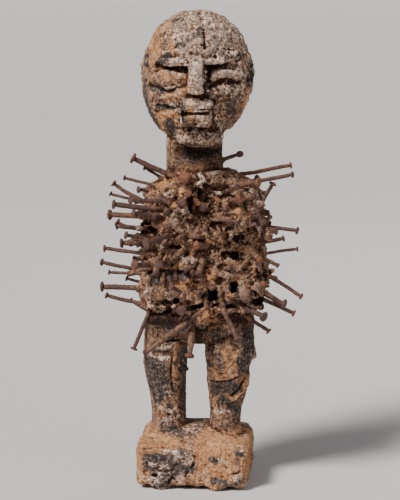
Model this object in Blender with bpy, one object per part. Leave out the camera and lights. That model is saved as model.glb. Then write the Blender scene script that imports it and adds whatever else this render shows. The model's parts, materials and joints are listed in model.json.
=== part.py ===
"""A standing power figure carved from one block of wood, and driven full of iron nails.

The figure faces -Y and stands on its plinth, with the origin at the middle of the plinth's underside.
Left and right are those of someone who faces it. The carving is drawn in millimetres above the plinth's top,
at the figure's real height, and grows or shrinks with FIGURE_HEIGHT.
"""

import math

import bmesh
import bpy
from mathutils import Matrix, Vector, noise
from mathutils.bvhtree import BVHTree

# Driving sizes, in metres
FIGURE_HEIGHT = 0.383
PLINTH_WIDTH = 0.100
PLINTH_DEPTH = 0.090
PLINTH_HEIGHT = 0.0405
PLINTH_EDGE = 0.004
PLINTH_CROWN = 0.0095
PLINTH_BACK_FALL = 0.6
PLINTH_UNDERCUT = 0.003
PLINTH_SEAT = 0.9
PLINTH_CELLS = 3
PLINTH_WEAR = 0.0022
PLINTH_WEAR_SPAN = 0.022
NAIL_CLEARANCE = 0.0003

# The carving's own millimetre: FIGURE_HEIGHT is 383 of them
CARVED_HEIGHT = 383
FIG = FIGURE_HEIGHT / CARVED_HEIGHT

# The crust on the trunk and the nails, in the carving's millimetres
CRUST_RELIEF = 4.4
CRUST_LUMP = 14
SHANKS = {"fine": 2.3, "medium": 3.0, "stout": 4.0}
HEAD_TO_SHANK = 2.15
HEAD_THICKNESS = 1.3
HEAD_CROWN = 0.80
HEAD_UNDERSIDE = 0.2
NAIL_DRIVEN = 14
NAIL_POINT = 6
POINT_TO_SHANK = 0.30
BEND_STEP = math.radians(24)

# How finely a rod is rounded: 2 gives eight sides and 1 gives six
ARM_ROUNDING = 2
NAIL_ROUNDING = 1

# Sides of each kind of section
TRUNK_SIDES = 24
BODY_SIDES = 16
LEG_SIDES = 12

HEAD_TURN = math.radians(4)
HEAD_CENTRE = (1, 2, 325)
HEAD_HALF = (48.8, 47, 58)
HEAD_FULLNESS = 2.2
HEAD_FACETS = (24, 14)
JAW_LEAN = -4

# Sections of the carving, bottom to top: height, middle x, middle y, half width, half depth, squareness
PELVIS = (
    (87, 5, -1, 24, 16, 2.2),
    (92, 5, -1, 38, 24, 2.4),
    (100, 5, -1, 48, 31, 2.6),
    (122, 5, 0, 49, 33, 2.8),
)
TRUNK = (
    (119, 6, 0, 53, 37, 3.0),
    (124, 6.5, 0, 56, 39.5, 3.0),
    (134, 7.5, 0, 57.5, 41, 3.0),
    (146, 8, 0, 57.5, 41, 3.0),
    (158, 6, 0, 55.5, 40, 3.0),
    (170, 5.5, 0, 53, 37, 3.0),
    (182, 6, 0, 54, 37.5, 3.0),
    (194, 6.5, 0, 55, 38, 3.0),
    (208, 5.5, 0, 54.5, 38.5, 3.0),
    (221, 5, 0, 53, 37, 3.0),
    (230, 5.5, 0, 47, 33, 2.8),
    (237, 5, 0, 38, 28, 2.5),
    (242, 3, 0, 29, 25, 2.3),
)
NECK = (
    (232, 0, 1, 28, 26, 2.2),
    (243, -1.2, 1, 26, 24, 2.2),
    (256, -1.5, 2, 25, 23, 2.2),
    (284, -1.2, 4, 26, 24, 2.2),
)
LEFT_LEG = (
    (-3, -24.5, -2, 16.5, 21, 2.3),
    (6, -24.5, 0, 16, 19, 2.3),
    (20, -24.8, 2, 15.5, 17, 2.2),
    (38, -26, 3.5, 16.5, 17.5, 2.2),
    (53, -27.5, 1, 18.5, 18, 2.3),
    (68, -27.5, -3, 20, 20, 2.3),
    (85, -27, -2, 20, 23, 2.3),
    (104, -25.5, 0, 20.5, 26, 2.3),
)
RIGHT_LEG = (
    (-3, 27, 2, 15, 19, 2.3),
    (8, 26.5, 3, 13.8, 17, 2.3),
    (24, 27, 4, 14.5, 16, 2.2),
    (40, 28.5, 4, 17.5, 17, 2.2),
    (52, 29.5, 1, 19.5, 18, 2.3),
    (64, 29.5, -2, 19.5, 20, 2.3),
    (76, 31, -3, 22.5, 22, 2.3),
    (90, 31, -2, 22, 23, 2.3),
    (104, 31, 0, 21, 26, 2.3),
)

# Arms, shoulder to hand: x, y, height, radius
LEFT_ARM = (
    (-32, 0, 224, 10),
    (-37, 0, 200, 12.5),
    (-37, -6, 150, 13.5),
    (-27, -30, 138, 14),
    (-6, -36, 137, 11),
    (0, -35, 137, 6),
)
RIGHT_ARM = (
    (42, 0, 224, 11),
    (49, 0, 200, 12),
    (55.5, -5, 144, 13.5),
    (42, -30, 139, 13.5),
    (22, -35, 139, 11),
    (16, -34, 139, 6),
)

# Ball shapes: middle x, y, height, then half sizes
BUTTOCKS = ((-16, 20, 106, 21, 17, 19), (27, 20, 106, 21, 17, 19))
GROIN_KNOB = (8, -31, 115, 9, 13, 11)

# The face, from the head's middle: x, y, height, then half sizes; or height, half width and front
FACE_CLEAR = -70
FACE_ROOT = -30
EYES = ((-22.5, -34.5, 0.5, 17, 8.5, 8), (23.5, -34.5, 2.5, 15, 8, 6.5))
EARS = ((-44.8, 4, 1, 6, 9, 19), (44.8, 4, 1, 6, 9, 19))
EAR_HOLLOWS = ((-50.5, -2, 3, 5, 5.5, 10), (50.5, -3, 2, 5, 6.5, 12))
CHIN = (2, -23, -51, 23, 19, 9.5)
NOSE_TOP = (20, 5.5, -47.5)
NOSE_FOOT = (-12, 7.5, -57)
MOUTH_TOP = (-16, 13.5, -51.5)
MOUTH_FOOT = (-41.5, 14, -49)
MOUTH_LINE = (-29, 3.2, 4.5)

# Eye sockets: how far from the middle, and how deep at each end, under the brow and on the cheek
SOCKET_REACH = (5, 40)
SOCKET_BROWS = (11.5, 13)
SOCKET_BACK = (-35, -25)
SOCKET_CHEEK = -12
SOCKET_CHEEK_BACK = (-48, -39)

# Sockets that lost nails and plugs left in the crust: x, height, half width, half height, depth
LOST_SOCKETS = ((20, 135, 4, 5.5, 11), (39, 144, 3.8, 3.8, 11), (33, 170, 5, 2.8, 9), (-13, 131, 2.7, 2.7, 9))
ELBOW_HOLLOW = (56, -24, 129, 8, 9, 5)

# Lumps of crust at the plinth's front foot, which it rests on: middle x, half width, half height
FOOT_LUMPS = ((-28, 13, 9), (22, 11, 7))

# Nails by place: height, bearing and heading round the figure from straight ahead (right is positive), rise,
# reach out of the wood, gauge, and for a bent nail how far it bends, towards what, over which end share
NAILS = {
    "left_shoulder": (
        (239, -53, -79, 25, 36, "stout"),
        (235, -58, -97, 31, 21, "fine"),
        (230, -62, -98, 12, 30, "fine"),
        (226, -67, -72, 2, 11, "medium"),
        (218, -41, -62, 5, 31, "medium"),
        (223, -45, 5, 0, 23, "medium", 85, -115, 0.7),
    ),
    "left_arm": (
        (212, -98, -98, 26, 32, "medium", 12, 0, 0.4),
        (213, -82, -94, 14, 30, "fine"),
        (210, -50, -77, 9, 37, "stout"),
        (203, -63, -101, 0, 33, "stout"),
        (206, -43, -63, 5, 27, "medium"),
        (192, -68, -92, 2, 25, "medium", 42, 0, 0.45),
        (188, -84, -101, 5, 24, "fine"),
        (184, -58, -64, 12, 21, "medium"),
        (178, -77, -92, -4, 18, "stout"),
    ),
    "left_flank": (
        (169, -65, -90, 7, 38, "medium"),
        (151, -86, -97, 9, 37, "medium"),
        (161, -49, -45, 7, 23, "stout"),
        (150, -73, -94, 0, 30, "fine"),
        (138, -94, -106, 12, 16, "fine"),
        (137, -74, -90, 1, 32, "stout"),
        (123, -71, -86, 12, 33, "medium", 8, 0, 0.5),
    ),
    "left_hip": (
        (106, -108, -114, 25, 28, "fine"),
        (115, -73, -48, -62, 36, "medium"),
    ),
    "chest": (
        (190, -32, -36, -9, 32, "stout"),
        (163, -36, -15, 8, 21, "stout"),
        (237, -22, 0, 12, 10, "stout"),
        (225, -13, 5, 9, 16, "medium"),
        (227, 35, 30, 17, 26, "medium"),
        (220, 43, 19, 13, 13, "stout"),
        (203, 20, 59, 0, 27, "fine"),
    ),
    "belly": (
        (135, -11, -48, 32, 21, "medium"),
        (124, -20, 3, 4, 15, "stout"),
        (122, 6, -79, -36, 63, "medium"),
        (109, -9, -5, -60, 29, "stout"),
        (123, 31, 41, -46, 31, "stout"),
    ),
    "right_shoulder": (
        (251, 80, 74, 22, 16, "medium"),
        (238, 94, 90, 11, 45, "medium"),
        (232, 76, 86, 12, 40, "medium"),
        (232, 54, 66, 9, 20, "stout"),
        (213, 84, 79, 59, 21, "medium"),
    ),
    "right_arm": (
        (193, 82, 82, -5, 30, "medium"),
        (197, 67, 26, 14, 16, "medium"),
        (187, 53, 74, -2, 33, "fine", 230, 0, 0.27),
        (179, 77, 82, 12, 22, "medium"),
        (169, 80, 91, 9, 30, "fine"),
    ),
    "right_flank": (
        (148, 83, 81, -30, 33, "medium"),
        (134, 74, 68, -24, 19, "stout"),
        (125, 89, 86, -23, 28, "medium"),
        (126, 49, 58, -15, 24, "stout"),
        (114, 64, 78, -29, 24, "medium"),
    ),
}

# The unseen back carries fewer nails, in staggered rows: height and how far each row's middle is off centre
BACK_ROWS = ((222, -14), (196, 8), (168, -10), (140, 12))
BACK_SPREAD = 27
BACK_SPLAY = 1.2
BACK_REACH = (27, 34)
BACK_RISE = (12, -4)
BACK_GAUGES = ("medium", "stout")

CRUSTED_WOOD = {"colour": (0.30, 0.19, 0.12), "roughness": 0.85, "metallic": 0}
RUSTED_IRON = {"colour": (0.20, 0.11, 0.08), "roughness": 0.8, "metallic": 0.3}


def clear_scene():
    for obj in list(bpy.data.objects):
        bpy.data.objects.remove(obj, do_unlink=True)


def new_collection(name):
    collection = bpy.data.collections.new(name)
    bpy.context.scene.collection.children.link(collection)
    return collection


def new_material(name, colour, roughness, metallic):
    material = bpy.data.materials.new(name)
    material.use_nodes = True
    shader = material.node_tree.nodes["Principled BSDF"]
    shader.inputs["Base Color"].default_value = (*colour, 1)
    shader.inputs["Roughness"].default_value = roughness
    shader.inputs["Metallic"].default_value = metallic
    return material


def carved(x, y, height):
    """A point of the carving, given in its own millimetres above the plinth's top."""
    return Vector((x * FIG, y * FIG, PLINTH_HEIGHT + height * FIG))


def add_mesh(name, bm, collection):
    """An object made of bm, which is freed."""
    bmesh.ops.recalc_face_normals(bm, faces=bm.faces)
    mesh = bpy.data.meshes.new(name)
    bm.to_mesh(mesh)
    bm.free()
    obj = bpy.data.objects.new(name, mesh)
    collection.objects.link(obj)
    return obj


def as_helper(obj):
    obj.hide_render = True
    obj.display_type = "WIRE"
    return obj


def section_radius(angle, half_width, half_depth, squareness):
    """How far out a rounded oblong reaches at an angle from straight ahead."""
    across = abs(math.sin(angle)) / half_width
    along = abs(math.cos(angle)) / half_depth
    return (across**squareness + along**squareness) ** (-1 / squareness)


def loft(name, sections, sides, collection):
    """A closed solid through rounded oblong sections, bottom to top."""
    bm = bmesh.new()
    rings = []
    for height, x, y, half_width, half_depth, squareness in sections:
        ring = []
        for step in range(sides):
            angle = 2 * math.pi * step / sides
            out = section_radius(angle, half_width, half_depth, squareness)
            ring.append(bm.verts.new(carved(x + out * math.sin(angle), y - out * math.cos(angle), height)))
        rings.append(ring)
    for low, high in zip(rings, rings[1:]):
        for step in range(sides):
            after = (step + 1) % sides
            bm.faces.new((low[step], low[after], high[after], high[step]))
    bm.faces.new(rings[0])
    bm.faces.new(rings[-1])
    return as_helper(add_mesh(name, bm, collection))


def ball(name, shape, collection, segments=10, rings=6, place=None):
    """An ellipsoid of the carving; place turns it with the head."""
    x, y, height, half_x, half_y, half_z = shape
    if place is None:
        middle = Matrix.Translation(carved(x, y, height))
    else:
        middle = place @ Matrix.Translation(Vector((x, y, height)) * FIG)
    size = Matrix.Diagonal((half_x * FIG, half_y * FIG, half_z * FIG, 1))
    bm = bmesh.new()
    bmesh.ops.create_uvsphere(bm, u_segments=segments, v_segments=rings, radius=1, matrix=middle @ size)
    return as_helper(add_mesh(name, bm, collection))


def block(name, corners, collection, place, edge=0):
    """A six-sided block from its eight corners in x, y, z order of sides, with its edges eased by a bevel."""
    bm = bmesh.new()
    bmesh.ops.create_cube(bm, size=2)
    for vert in bm.verts:
        side = tuple(int(value > 0) for value in vert.co)
        vert.co = place @ (Vector(corners[side]) * FIG)
    if edge:
        bmesh.ops.bevel(bm, geom=bm.edges[:], offset=edge * FIG, segments=1, affect="EDGES")
    return as_helper(add_mesh(name, bm, collection))


def tapered_corners(top, foot, back):
    """Corners of a block whose front and width change from top to foot: each is height, half width, front."""
    corners = {}
    for level, (height, half_width, front) in enumerate((foot, top)):
        for side, sign in enumerate((-1, 1)):
            corners[(side, 0, level)] = (sign * half_width, front, height)
            corners[(side, 1, level)] = (sign * half_width, back, height)
    return corners


def tube(name, points, radii, rounding, collection):
    """A round rod along points, with its own radius at each, as a curve with filled caps."""
    curve = bpy.data.curves.new(name, "CURVE")
    curve.dimensions = "3D"
    curve.bevel_depth = 1
    curve.bevel_resolution = rounding
    curve.use_fill_caps = True
    spline = curve.splines.new("POLY")
    spline.points.add(len(points) - 1)
    for place, point, radius in zip(spline.points, points, radii):
        place.co = (*point, 1)
        place.radius = radius
    obj = bpy.data.objects.new(name, curve)
    collection.objects.link(obj)
    return obj


def make_solid(rods, collection):
    """Turns rods into closed meshes, which a Boolean can use."""
    graph = bpy.context.evaluated_depsgraph_get()
    meshes = [bpy.data.meshes.new_from_object(rod.evaluated_get(graph)) for rod in rods]
    for rod, mesh in zip(rods, meshes):
        name = rod.name
        bpy.data.objects.remove(rod, do_unlink=True)
        bm = bmesh.new()
        bm.from_mesh(mesh)
        bpy.data.meshes.remove(mesh)
        bmesh.ops.remove_doubles(bm, verts=bm.verts, dist=1e-6)
        as_helper(add_mesh(name, bm, collection))


def add_boolean(obj, operation, collection):
    modifier = obj.modifiers.new(collection.name, "BOOLEAN")
    modifier.operation = operation
    modifier.operand_type = "COLLECTION"
    modifier.collection = collection
    modifier.solver = "EXACT"


def crusted(obj):
    """Moves the surface in and out a little, as the lumpy coat of earth on the trunk does."""
    bm = bmesh.new()
    bm.from_mesh(obj.data)
    bm.normal_update()
    foot = carved(0, 0, 0)
    for vert in bm.verts:
        vert.co += vert.normal * CRUST_RELIEF * FIG * noise.noise((vert.co - foot) / (CRUST_LUMP * FIG))
    bm.to_mesh(obj.data)
    bm.free()


def head_frame():
    """Where the head's middle is, and how the head is turned."""
    return Matrix.Translation(carved(*HEAD_CENTRE)) @ Matrix.Rotation(HEAD_TURN, 4, "Z")


def head_shell(collection):
    """The egg of the head: a ball whose sections are filled out towards the jaw and crown."""
    bm = bmesh.new()
    bmesh.ops.create_uvsphere(bm, u_segments=HEAD_FACETS[0], v_segments=HEAD_FACETS[1], radius=1)
    for vert in bm.verts:
        round_radius = math.hypot(vert.co.x, vert.co.y)
        full_radius = (1 - min(1, abs(vert.co.z)) ** HEAD_FULLNESS) ** (1 / HEAD_FULLNESS)
        swell = full_radius / round_radius if round_radius > 1e-6 else 1
        vert.co = Vector(
            (
                (vert.co.x * swell * HEAD_HALF[0] + JAW_LEAN * min(0, vert.co.z) ** 2) * FIG,
                vert.co.y * swell * HEAD_HALF[1] * FIG,
                vert.co.z * HEAD_HALF[2] * FIG,
            )
        )
    bmesh.ops.transform(bm, matrix=head_frame(), verts=bm.verts)
    return as_helper(add_mesh("head", bm, collection))


def face_hollows(collection):
    """Eye sockets cut in under a straight brow, following the head round and running out on the cheeks."""
    place = head_frame()
    for name, sign, brow in zip(("left_socket", "right_socket"), (-1, 1), SOCKET_BROWS):
        corners = {}
        for end, reach in enumerate(SOCKET_REACH):
            side = end if sign > 0 else 1 - end
            backs = (SOCKET_CHEEK_BACK[end], SOCKET_BACK[end])
            for level, height in enumerate((SOCKET_CHEEK, brow)):
                corners[(side, 0, level)] = (sign * reach, FACE_CLEAR, height)
                corners[(side, 1, level)] = (sign * reach, backs[level], height)
        block(name, corners, collection, place, 2)


def face_features(collection):
    """What stands out of the face: eyes, nose, mouth, chin and ears."""
    place = head_frame()
    for name, shape in zip(("left_eye", "right_eye"), EYES):
        ball(name, shape, collection, segments=12, place=place)
    for name, shape in zip(("left_ear", "right_ear"), EARS):
        ball(name, shape, collection, segments=8, place=place)
    block("nose", tapered_corners(NOSE_TOP, NOSE_FOOT, FACE_ROOT), collection, place, 1.6)
    block("mouth", tapered_corners(MOUTH_TOP, MOUTH_FOOT, FACE_ROOT), collection, place, 2)
    ball("chin", CHIN, collection, segments=12, place=place)


def face_cuts(collection):
    """The line between the lips and the hollows of the ears."""
    place = head_frame()
    height, thickness, depth = MOUTH_LINE
    inner = (MOUTH_TOP[2] + MOUTH_FOOT[2]) / 2 + depth
    half_width = max(MOUTH_TOP[1], MOUTH_FOOT[1]) + depth
    top, foot = ((height + side * thickness / 2, half_width, FACE_CLEAR) for side in (1, -1))
    block("mouth_line", tapered_corners(top, foot, inner), collection, place)
    for name, shape in zip(("left_ear_hollow", "right_ear_hollow"), EAR_HOLLOWS):
        ball(name, shape, collection, segments=8, rings=4, place=place)


def body_masses(collection):
    """All that is left of the block besides the trunk, each sunk well into its neighbours."""
    loft("pelvis", PELVIS, BODY_SIDES, collection)
    loft("neck", NECK, BODY_SIDES, collection)
    loft("left_leg", LEFT_LEG, LEG_SIDES, collection)
    loft("right_leg", RIGHT_LEG, LEG_SIDES, collection)
    arms = []
    for name, arm in (("left_arm", LEFT_ARM), ("right_arm", RIGHT_ARM)):
        route = [carved(x, y, height) for x, y, height, _ in arm]
        arms.append(tube(name, route, [radius * FIG for _, _, _, radius in arm], ARM_ROUNDING, collection))
    make_solid(arms, collection)
    for side, buttock in zip(("left", "right"), BUTTOCKS):
        ball(side + "_buttock", buttock, collection)
    ball("groin_knob", GROIN_KNOB, collection)
    plinth(collection)
    head_shell(collection)


def worn(place):
    """Where a point of the plinth's block ends up once worn: crowned on top, hollowed at its lower edges."""
    across = min(1, abs(place.x) / (PLINTH_WIDTH / 2 - PLINTH_EDGE))
    along = min(1, abs(place.y) / (PLINTH_DEPTH / 2 - PLINTH_EDGE))
    wear = noise.noise_vector(place / PLINTH_WEAR_SPAN) * PLINTH_WEAR
    if place.z < PLINTH_HEIGHT / 4:
        lift = 0 if max(across, along) < PLINTH_SEAT else PLINTH_UNDERCUT
        return place + Vector((0, 0, lift))
    if place.z < PLINTH_HEIGHT - PLINTH_EDGE / 2:
        return place + wear
    fall = along**2 if place.y < 0 else PLINTH_BACK_FALL * along**2
    return place + wear + Vector((0, 0, PLINTH_CROWN * (1 - across**4) * (1 - fall)))


def plinth(collection):
    """The base left square under the feet, with soft edges, a crowned top and a flat seat underneath."""
    bm = bmesh.new()
    bmesh.ops.create_cube(bm, size=1)
    bmesh.ops.transform(
        bm, matrix=Matrix.Diagonal((PLINTH_WIDTH, PLINTH_DEPTH, PLINTH_HEIGHT, 1)), verts=bm.verts
    )
    bmesh.ops.translate(bm, vec=(0, 0, PLINTH_HEIGHT / 2), verts=bm.verts)
    bmesh.ops.bevel(bm, geom=bm.edges[:], offset=PLINTH_EDGE, segments=1, affect="EDGES")
    long_edges = [edge for edge in bm.edges if edge.calc_length() > 2 * PLINTH_EDGE]
    bmesh.ops.subdivide_edges(bm, edges=long_edges, cuts=PLINTH_CELLS - 1, use_grid_fill=True)
    for vert in bm.verts:
        vert.co = worn(vert.co)
    as_helper(add_mesh("plinth", bm, collection))
    for count, (x, half_width, half_height) in enumerate(FOOT_LUMPS, 1):
        front = -PLINTH_DEPTH / 2 / FIG + half_width / 4
        shape = (x, front, half_height - PLINTH_HEIGHT / FIG, half_width, half_width / 2, half_height)
        ball(f"foot_lump_{count}", shape, collection)


def crust_cuts(collection):
    """Square and round sockets in the crust, open to the front, and the hollow under the right elbow."""
    for count, (x, height, half_width, half_height, depth) in enumerate(LOST_SOCKETS, 1):
        mouth = FACE_CLEAR
        floor = TRUNK[4][2] - TRUNK[4][4] + depth
        corners = {}
        for side, sign in enumerate((-1, 1)):
            for level, up in enumerate((-1, 1)):
                corners[(side, 0, level)] = (x + sign * half_width, mouth, up * half_height)
                corners[(side, 1, level)] = (x + sign * half_width, floor, up * half_height)
        block(f"lost_socket_{count}", corners, collection, Matrix.Translation(carved(0, 0, height)))
    ball("elbow_hollow", ELBOW_HOLLOW, collection)


class Nail:
    """One driven nail: where it enters the wood, which way it points, and its sizes."""

    def __init__(self, surface, height, bearing, heading, rise, reach, gauge, bend=0, towards=0, share=0.5):
        bearing, heading, rise = (math.radians(angle) for angle in (bearing, heading, rise))
        away = Vector((math.sin(bearing), -math.cos(bearing), 0))
        middle = carved(TRUNK[5][1], 0, height)
        hit = surface.ray_cast(middle + away, -away)[0]
        if hit is None:
            raise ValueError(f"no wood at height {height}")
        self.entry = hit
        self.out = Vector(
            (math.cos(rise) * math.sin(heading), -math.cos(rise) * math.cos(heading), math.sin(rise))
        )
        self.reach = reach * FIG
        self.radius = SHANKS[gauge] * FIG / 2
        self.bend = math.radians(bend)
        self.towards = math.radians(towards)
        self.share = share

    def spine(self):
        """Points and directions from the driven point to just under the head."""
        level = self.out.cross(Vector((0, 0, 1))).normalized()
        upright = level.cross(self.out)
        side = upright * math.cos(self.towards) + level * math.sin(self.towards)
        straight = self.reach * (1 - self.share) if self.bend else self.reach
        run = [(self.entry - self.out * (NAIL_DRIVEN - NAIL_POINT) * FIG, self.out)]
        if self.bend:
            run.append((self.entry + self.out * straight, self.out))
            steps = math.ceil(self.bend / BEND_STEP)
            radius = self.reach * self.share / self.bend
            middle = run[1][0] + side * radius
            for step in range(1, steps + 1):
                angle = self.bend * step / steps
                place = middle + self.out * radius * math.sin(angle) - side * radius * math.cos(angle)
                run.append((place, self.out * math.cos(angle) + side * math.sin(angle)))
        else:
            run.append((self.entry + self.out * straight, self.out))
        return run

    def outline(self):
        """Points and radii of the nail, from its point to the top of its head."""
        run = self.spine()
        last, way = run[-1]
        rim = self.radius * HEAD_TO_SHANK
        neck = last - way * HEAD_THICKNESS * FIG
        points = [self.entry - self.out * NAIL_DRIVEN * FIG] + [point for point, _ in run[:-1]]
        points += [neck - way * HEAD_UNDERSIDE * FIG, neck, last]
        radii = [self.radius * POINT_TO_SHANK] + [self.radius] * len(run) + [rim, rim * HEAD_CROWN]
        return points, radii

    def hole(self):
        """Points and radii of the hole that the nail sits in, which clears the wood as far as its head."""
        run = self.spine()
        last, way = run[-1]
        points = [self.entry - self.out * (NAIL_DRIVEN * FIG + NAIL_CLEARANCE)]
        points += [point for point, _ in run[1:-1]]
        points.append(last - way * HEAD_THICKNESS * FIG)
        return points, [self.radius + NAIL_CLEARANCE] * len(points)


def all_nails(surface):
    """Every nail by name, those on the back included."""
    named = {}
    for place, rows in NAILS.items():
        for count, row in enumerate(rows, 1):
            named[f"nail_{place}_{count}"] = Nail(surface, *row)
    count = 0
    for row, (height, off) in enumerate(BACK_ROWS):
        for side, sign in enumerate((-1, 1)):
            count += 1
            bearing = 180 + off + sign * BACK_SPREAD
            heading = 180 + 0.5 * off + sign * BACK_SPREAD * BACK_SPLAY
            kind = (row + side) % 2
            named[f"nail_back_{count}"] = Nail(
                surface, height, bearing, heading, BACK_RISE[kind], BACK_REACH[kind], BACK_GAUGES[kind]
            )
    return named


def carve_figure(parts, masses, hollows, features, cuts):
    """The whole carving as one solid, before the nails are driven."""
    figure = loft("figure", TRUNK, TRUNK_SIDES, parts)
    figure.hide_render = False
    figure.display_type = "TEXTURED"
    crusted(figure)
    body_masses(masses)
    face_hollows(hollows)
    face_features(features)
    face_cuts(cuts)
    crust_cuts(cuts)
    add_boolean(figure, "UNION", masses)
    add_boolean(figure, "DIFFERENCE", hollows)
    add_boolean(figure, "UNION", features)
    add_boolean(figure, "DIFFERENCE", cuts)
    figure.data.materials.append(new_material("crusted_wood", **CRUSTED_WOOD))
    return figure


def drive_nails(figure, parts, holes):
    """Nails in their own holes, each a little wider than the nail."""
    bpy.context.view_layer.update()
    surface = BVHTree.FromObject(figure, bpy.context.evaluated_depsgraph_get())
    iron = new_material("rusted_iron", **RUSTED_IRON)
    cutters = []
    for name, nail in all_nails(surface).items():
        tube(name, *nail.outline(), NAIL_ROUNDING, parts).data.materials.append(iron)
        cutters.append(tube(name + "_hole", *nail.hole(), NAIL_ROUNDING, holes))
    make_solid(cutters, holes)
    add_boolean(figure, "DIFFERENCE", holes)


def main():
    clear_scene()
    parts = new_collection("nail_figure")
    masses = new_collection("carving_masses")
    hollows = new_collection("face_hollows")
    features = new_collection("face_features")
    cuts = new_collection("carving_cuts")
    holes = new_collection("nail_holes")
    figure = carve_figure(parts, masses, hollows, features, cuts)
    drive_nails(figure, parts, holes)


main()
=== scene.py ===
"""The looks of a nail figure: crusted carved wood, rusted nails, a pale floor and soft studio light.

Every place is in metres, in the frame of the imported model. The figure faces -Y, and left is the viewer's
left.
"""

import json
import math
import random

import bmesh
import bpy
import numpy as np
from mathutils import Matrix, Vector, noise
from mathutils.bvhtree import BVHTree

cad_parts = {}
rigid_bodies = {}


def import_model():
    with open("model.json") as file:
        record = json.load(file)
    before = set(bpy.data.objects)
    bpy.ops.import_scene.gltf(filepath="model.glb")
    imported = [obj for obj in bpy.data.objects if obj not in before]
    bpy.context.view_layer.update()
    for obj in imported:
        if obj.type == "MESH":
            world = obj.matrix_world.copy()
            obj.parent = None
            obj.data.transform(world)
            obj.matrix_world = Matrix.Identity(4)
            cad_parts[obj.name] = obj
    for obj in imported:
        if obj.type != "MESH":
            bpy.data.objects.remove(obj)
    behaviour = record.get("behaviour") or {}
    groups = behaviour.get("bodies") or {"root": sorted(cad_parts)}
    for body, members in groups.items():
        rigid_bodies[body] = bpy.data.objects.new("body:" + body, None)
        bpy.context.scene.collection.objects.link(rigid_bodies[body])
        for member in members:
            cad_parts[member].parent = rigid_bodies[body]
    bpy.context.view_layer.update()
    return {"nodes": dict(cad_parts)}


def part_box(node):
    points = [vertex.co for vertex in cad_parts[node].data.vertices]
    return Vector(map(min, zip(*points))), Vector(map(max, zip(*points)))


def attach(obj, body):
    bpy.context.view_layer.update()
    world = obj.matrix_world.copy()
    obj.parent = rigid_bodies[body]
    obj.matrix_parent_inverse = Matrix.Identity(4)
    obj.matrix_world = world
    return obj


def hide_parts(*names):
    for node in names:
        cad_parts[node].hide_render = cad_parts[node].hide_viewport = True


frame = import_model()
WOOD = frame["nodes"]["figure"]
FOOT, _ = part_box("figure")

bl_info = {
    "name": "Nail figure",
    "version": (1, 0, 0),
    "blender": (4, 5, 0),
    "location": "View3D > Sidebar > Nail figure",
    "description": "Dresses the packed nail figure in crusted wood and rusted iron",
    "category": "Object",
}

MM = 0.001
NAIL_GROUPS = (
    "left_shoulder",
    "left_arm",
    "left_flank",
    "left_hip",
    "chest",
    "belly",
    "right_shoulder",
    "right_arm",
    "right_flank",
    "back",
)

# Nails that look unlike the rest
NAIL_LOOKS = {
    "nail_right_shoulder_1": {"dome": 3.6, "head": 1.15, "tone": 0.0},
    "nail_belly_3": {"coat": 0.75},
    "nail_belly_4": {"coat": 0.35, "dome": 1.6},
    "nail_left_arm_9": {"coat": 0.5},
    "nail_chest_3": {"tone": 0.9, "head": 1.2},
    "nail_chest_6": {"coat": 0.3, "tone": 0.8},
    "nail_left_flank_1": {"tone": 0.9},
    "nail_left_flank_3": {"tone": 0.7},
}

# The widest that a nail's point is across, and how far above its taper a nail leaves the wood
POINT_SPAN = 1.25 * MM
TAPER_TO_WOOD = 8 * MM

# Along a nail from its point: where it leaves the wood, over what length its crusted foot and its earth
# fade, and where it starts to run crooked, over what length, and by how much
LEAVES_WOOD = 14 * MM
FOOT_FADE = 11 * MM
EARTH_FADE = 14 * MM
CROOKED_FROM = 16 * MM
CROOKED_FADE = 10 * MM
CROOKED = 0.6 * MM

# How far apart the noises of a nail's drift on the three axes are read
WANDER = Vector((31, 17, 53))

# The share of a nail's length between which a coat of earth lies on it, and how soon it ends
COAT_FROM = 0.42
COAT_TO = 0.93
COAT_END = 0.1

# Rises and spreads, in shank radii, of the rings of a whole head and of a broken end
HEAD_RINGS = ((0.25, 1.25), (0.1, 1.62), (0.25, 1.06), (0.30, 0.99), (0.22, 0.9), (0.14, 0.7), (0.06, 0.5))
BROKEN_RINGS = ((0.18, 0.86), (0.14, 0.62))
TAPER = 0.12
TIP_RADIUS = 0.3

# Heights where the carving is parted into its pieces
NECK_CUT = 0.2890
HIP_CUT = 0.1500

# Heights between which one part of the carving passes into the next
PLINTH_TOP = (0.040, 0.050)
LEGS_FOOT = (0.040, 0.052)
HIPS_FOOT = (0.122, 0.138)
TRUNK_HEM = (0.146, 0.158)
LEGS_TOP = (0.148, 0.162)
NECK_FOOT = (0.268, 0.282)
TRUNK_TOP = (0.284, 0.296)
NECK_TOP = (0.298, 0.312)

# The middles of the neck and of the trunk, to the right of the figure's middle, and where the neck ends
# round its own middle
NECK_MIDDLE = 0.0055
NECK_SIDE = (0.026, 0.032)
TRUNK_MIDDLE = 0.006

# How far a surface may turn from the front, and how far back it may lie, to take the strokes of the front
FRONT_SLANT = (-0.45, 0.05)
FRONT_DEPTH = 20 * MM

# Between which heights crusted nails and lumps stand on the trunk, and broken nails, and how far outside
# the trunk a ray starts
CRUST_BAND = (0.160, 0.272)
STUB_BAND = (0.168, 0.266)
RAY_START = 0.2

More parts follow.
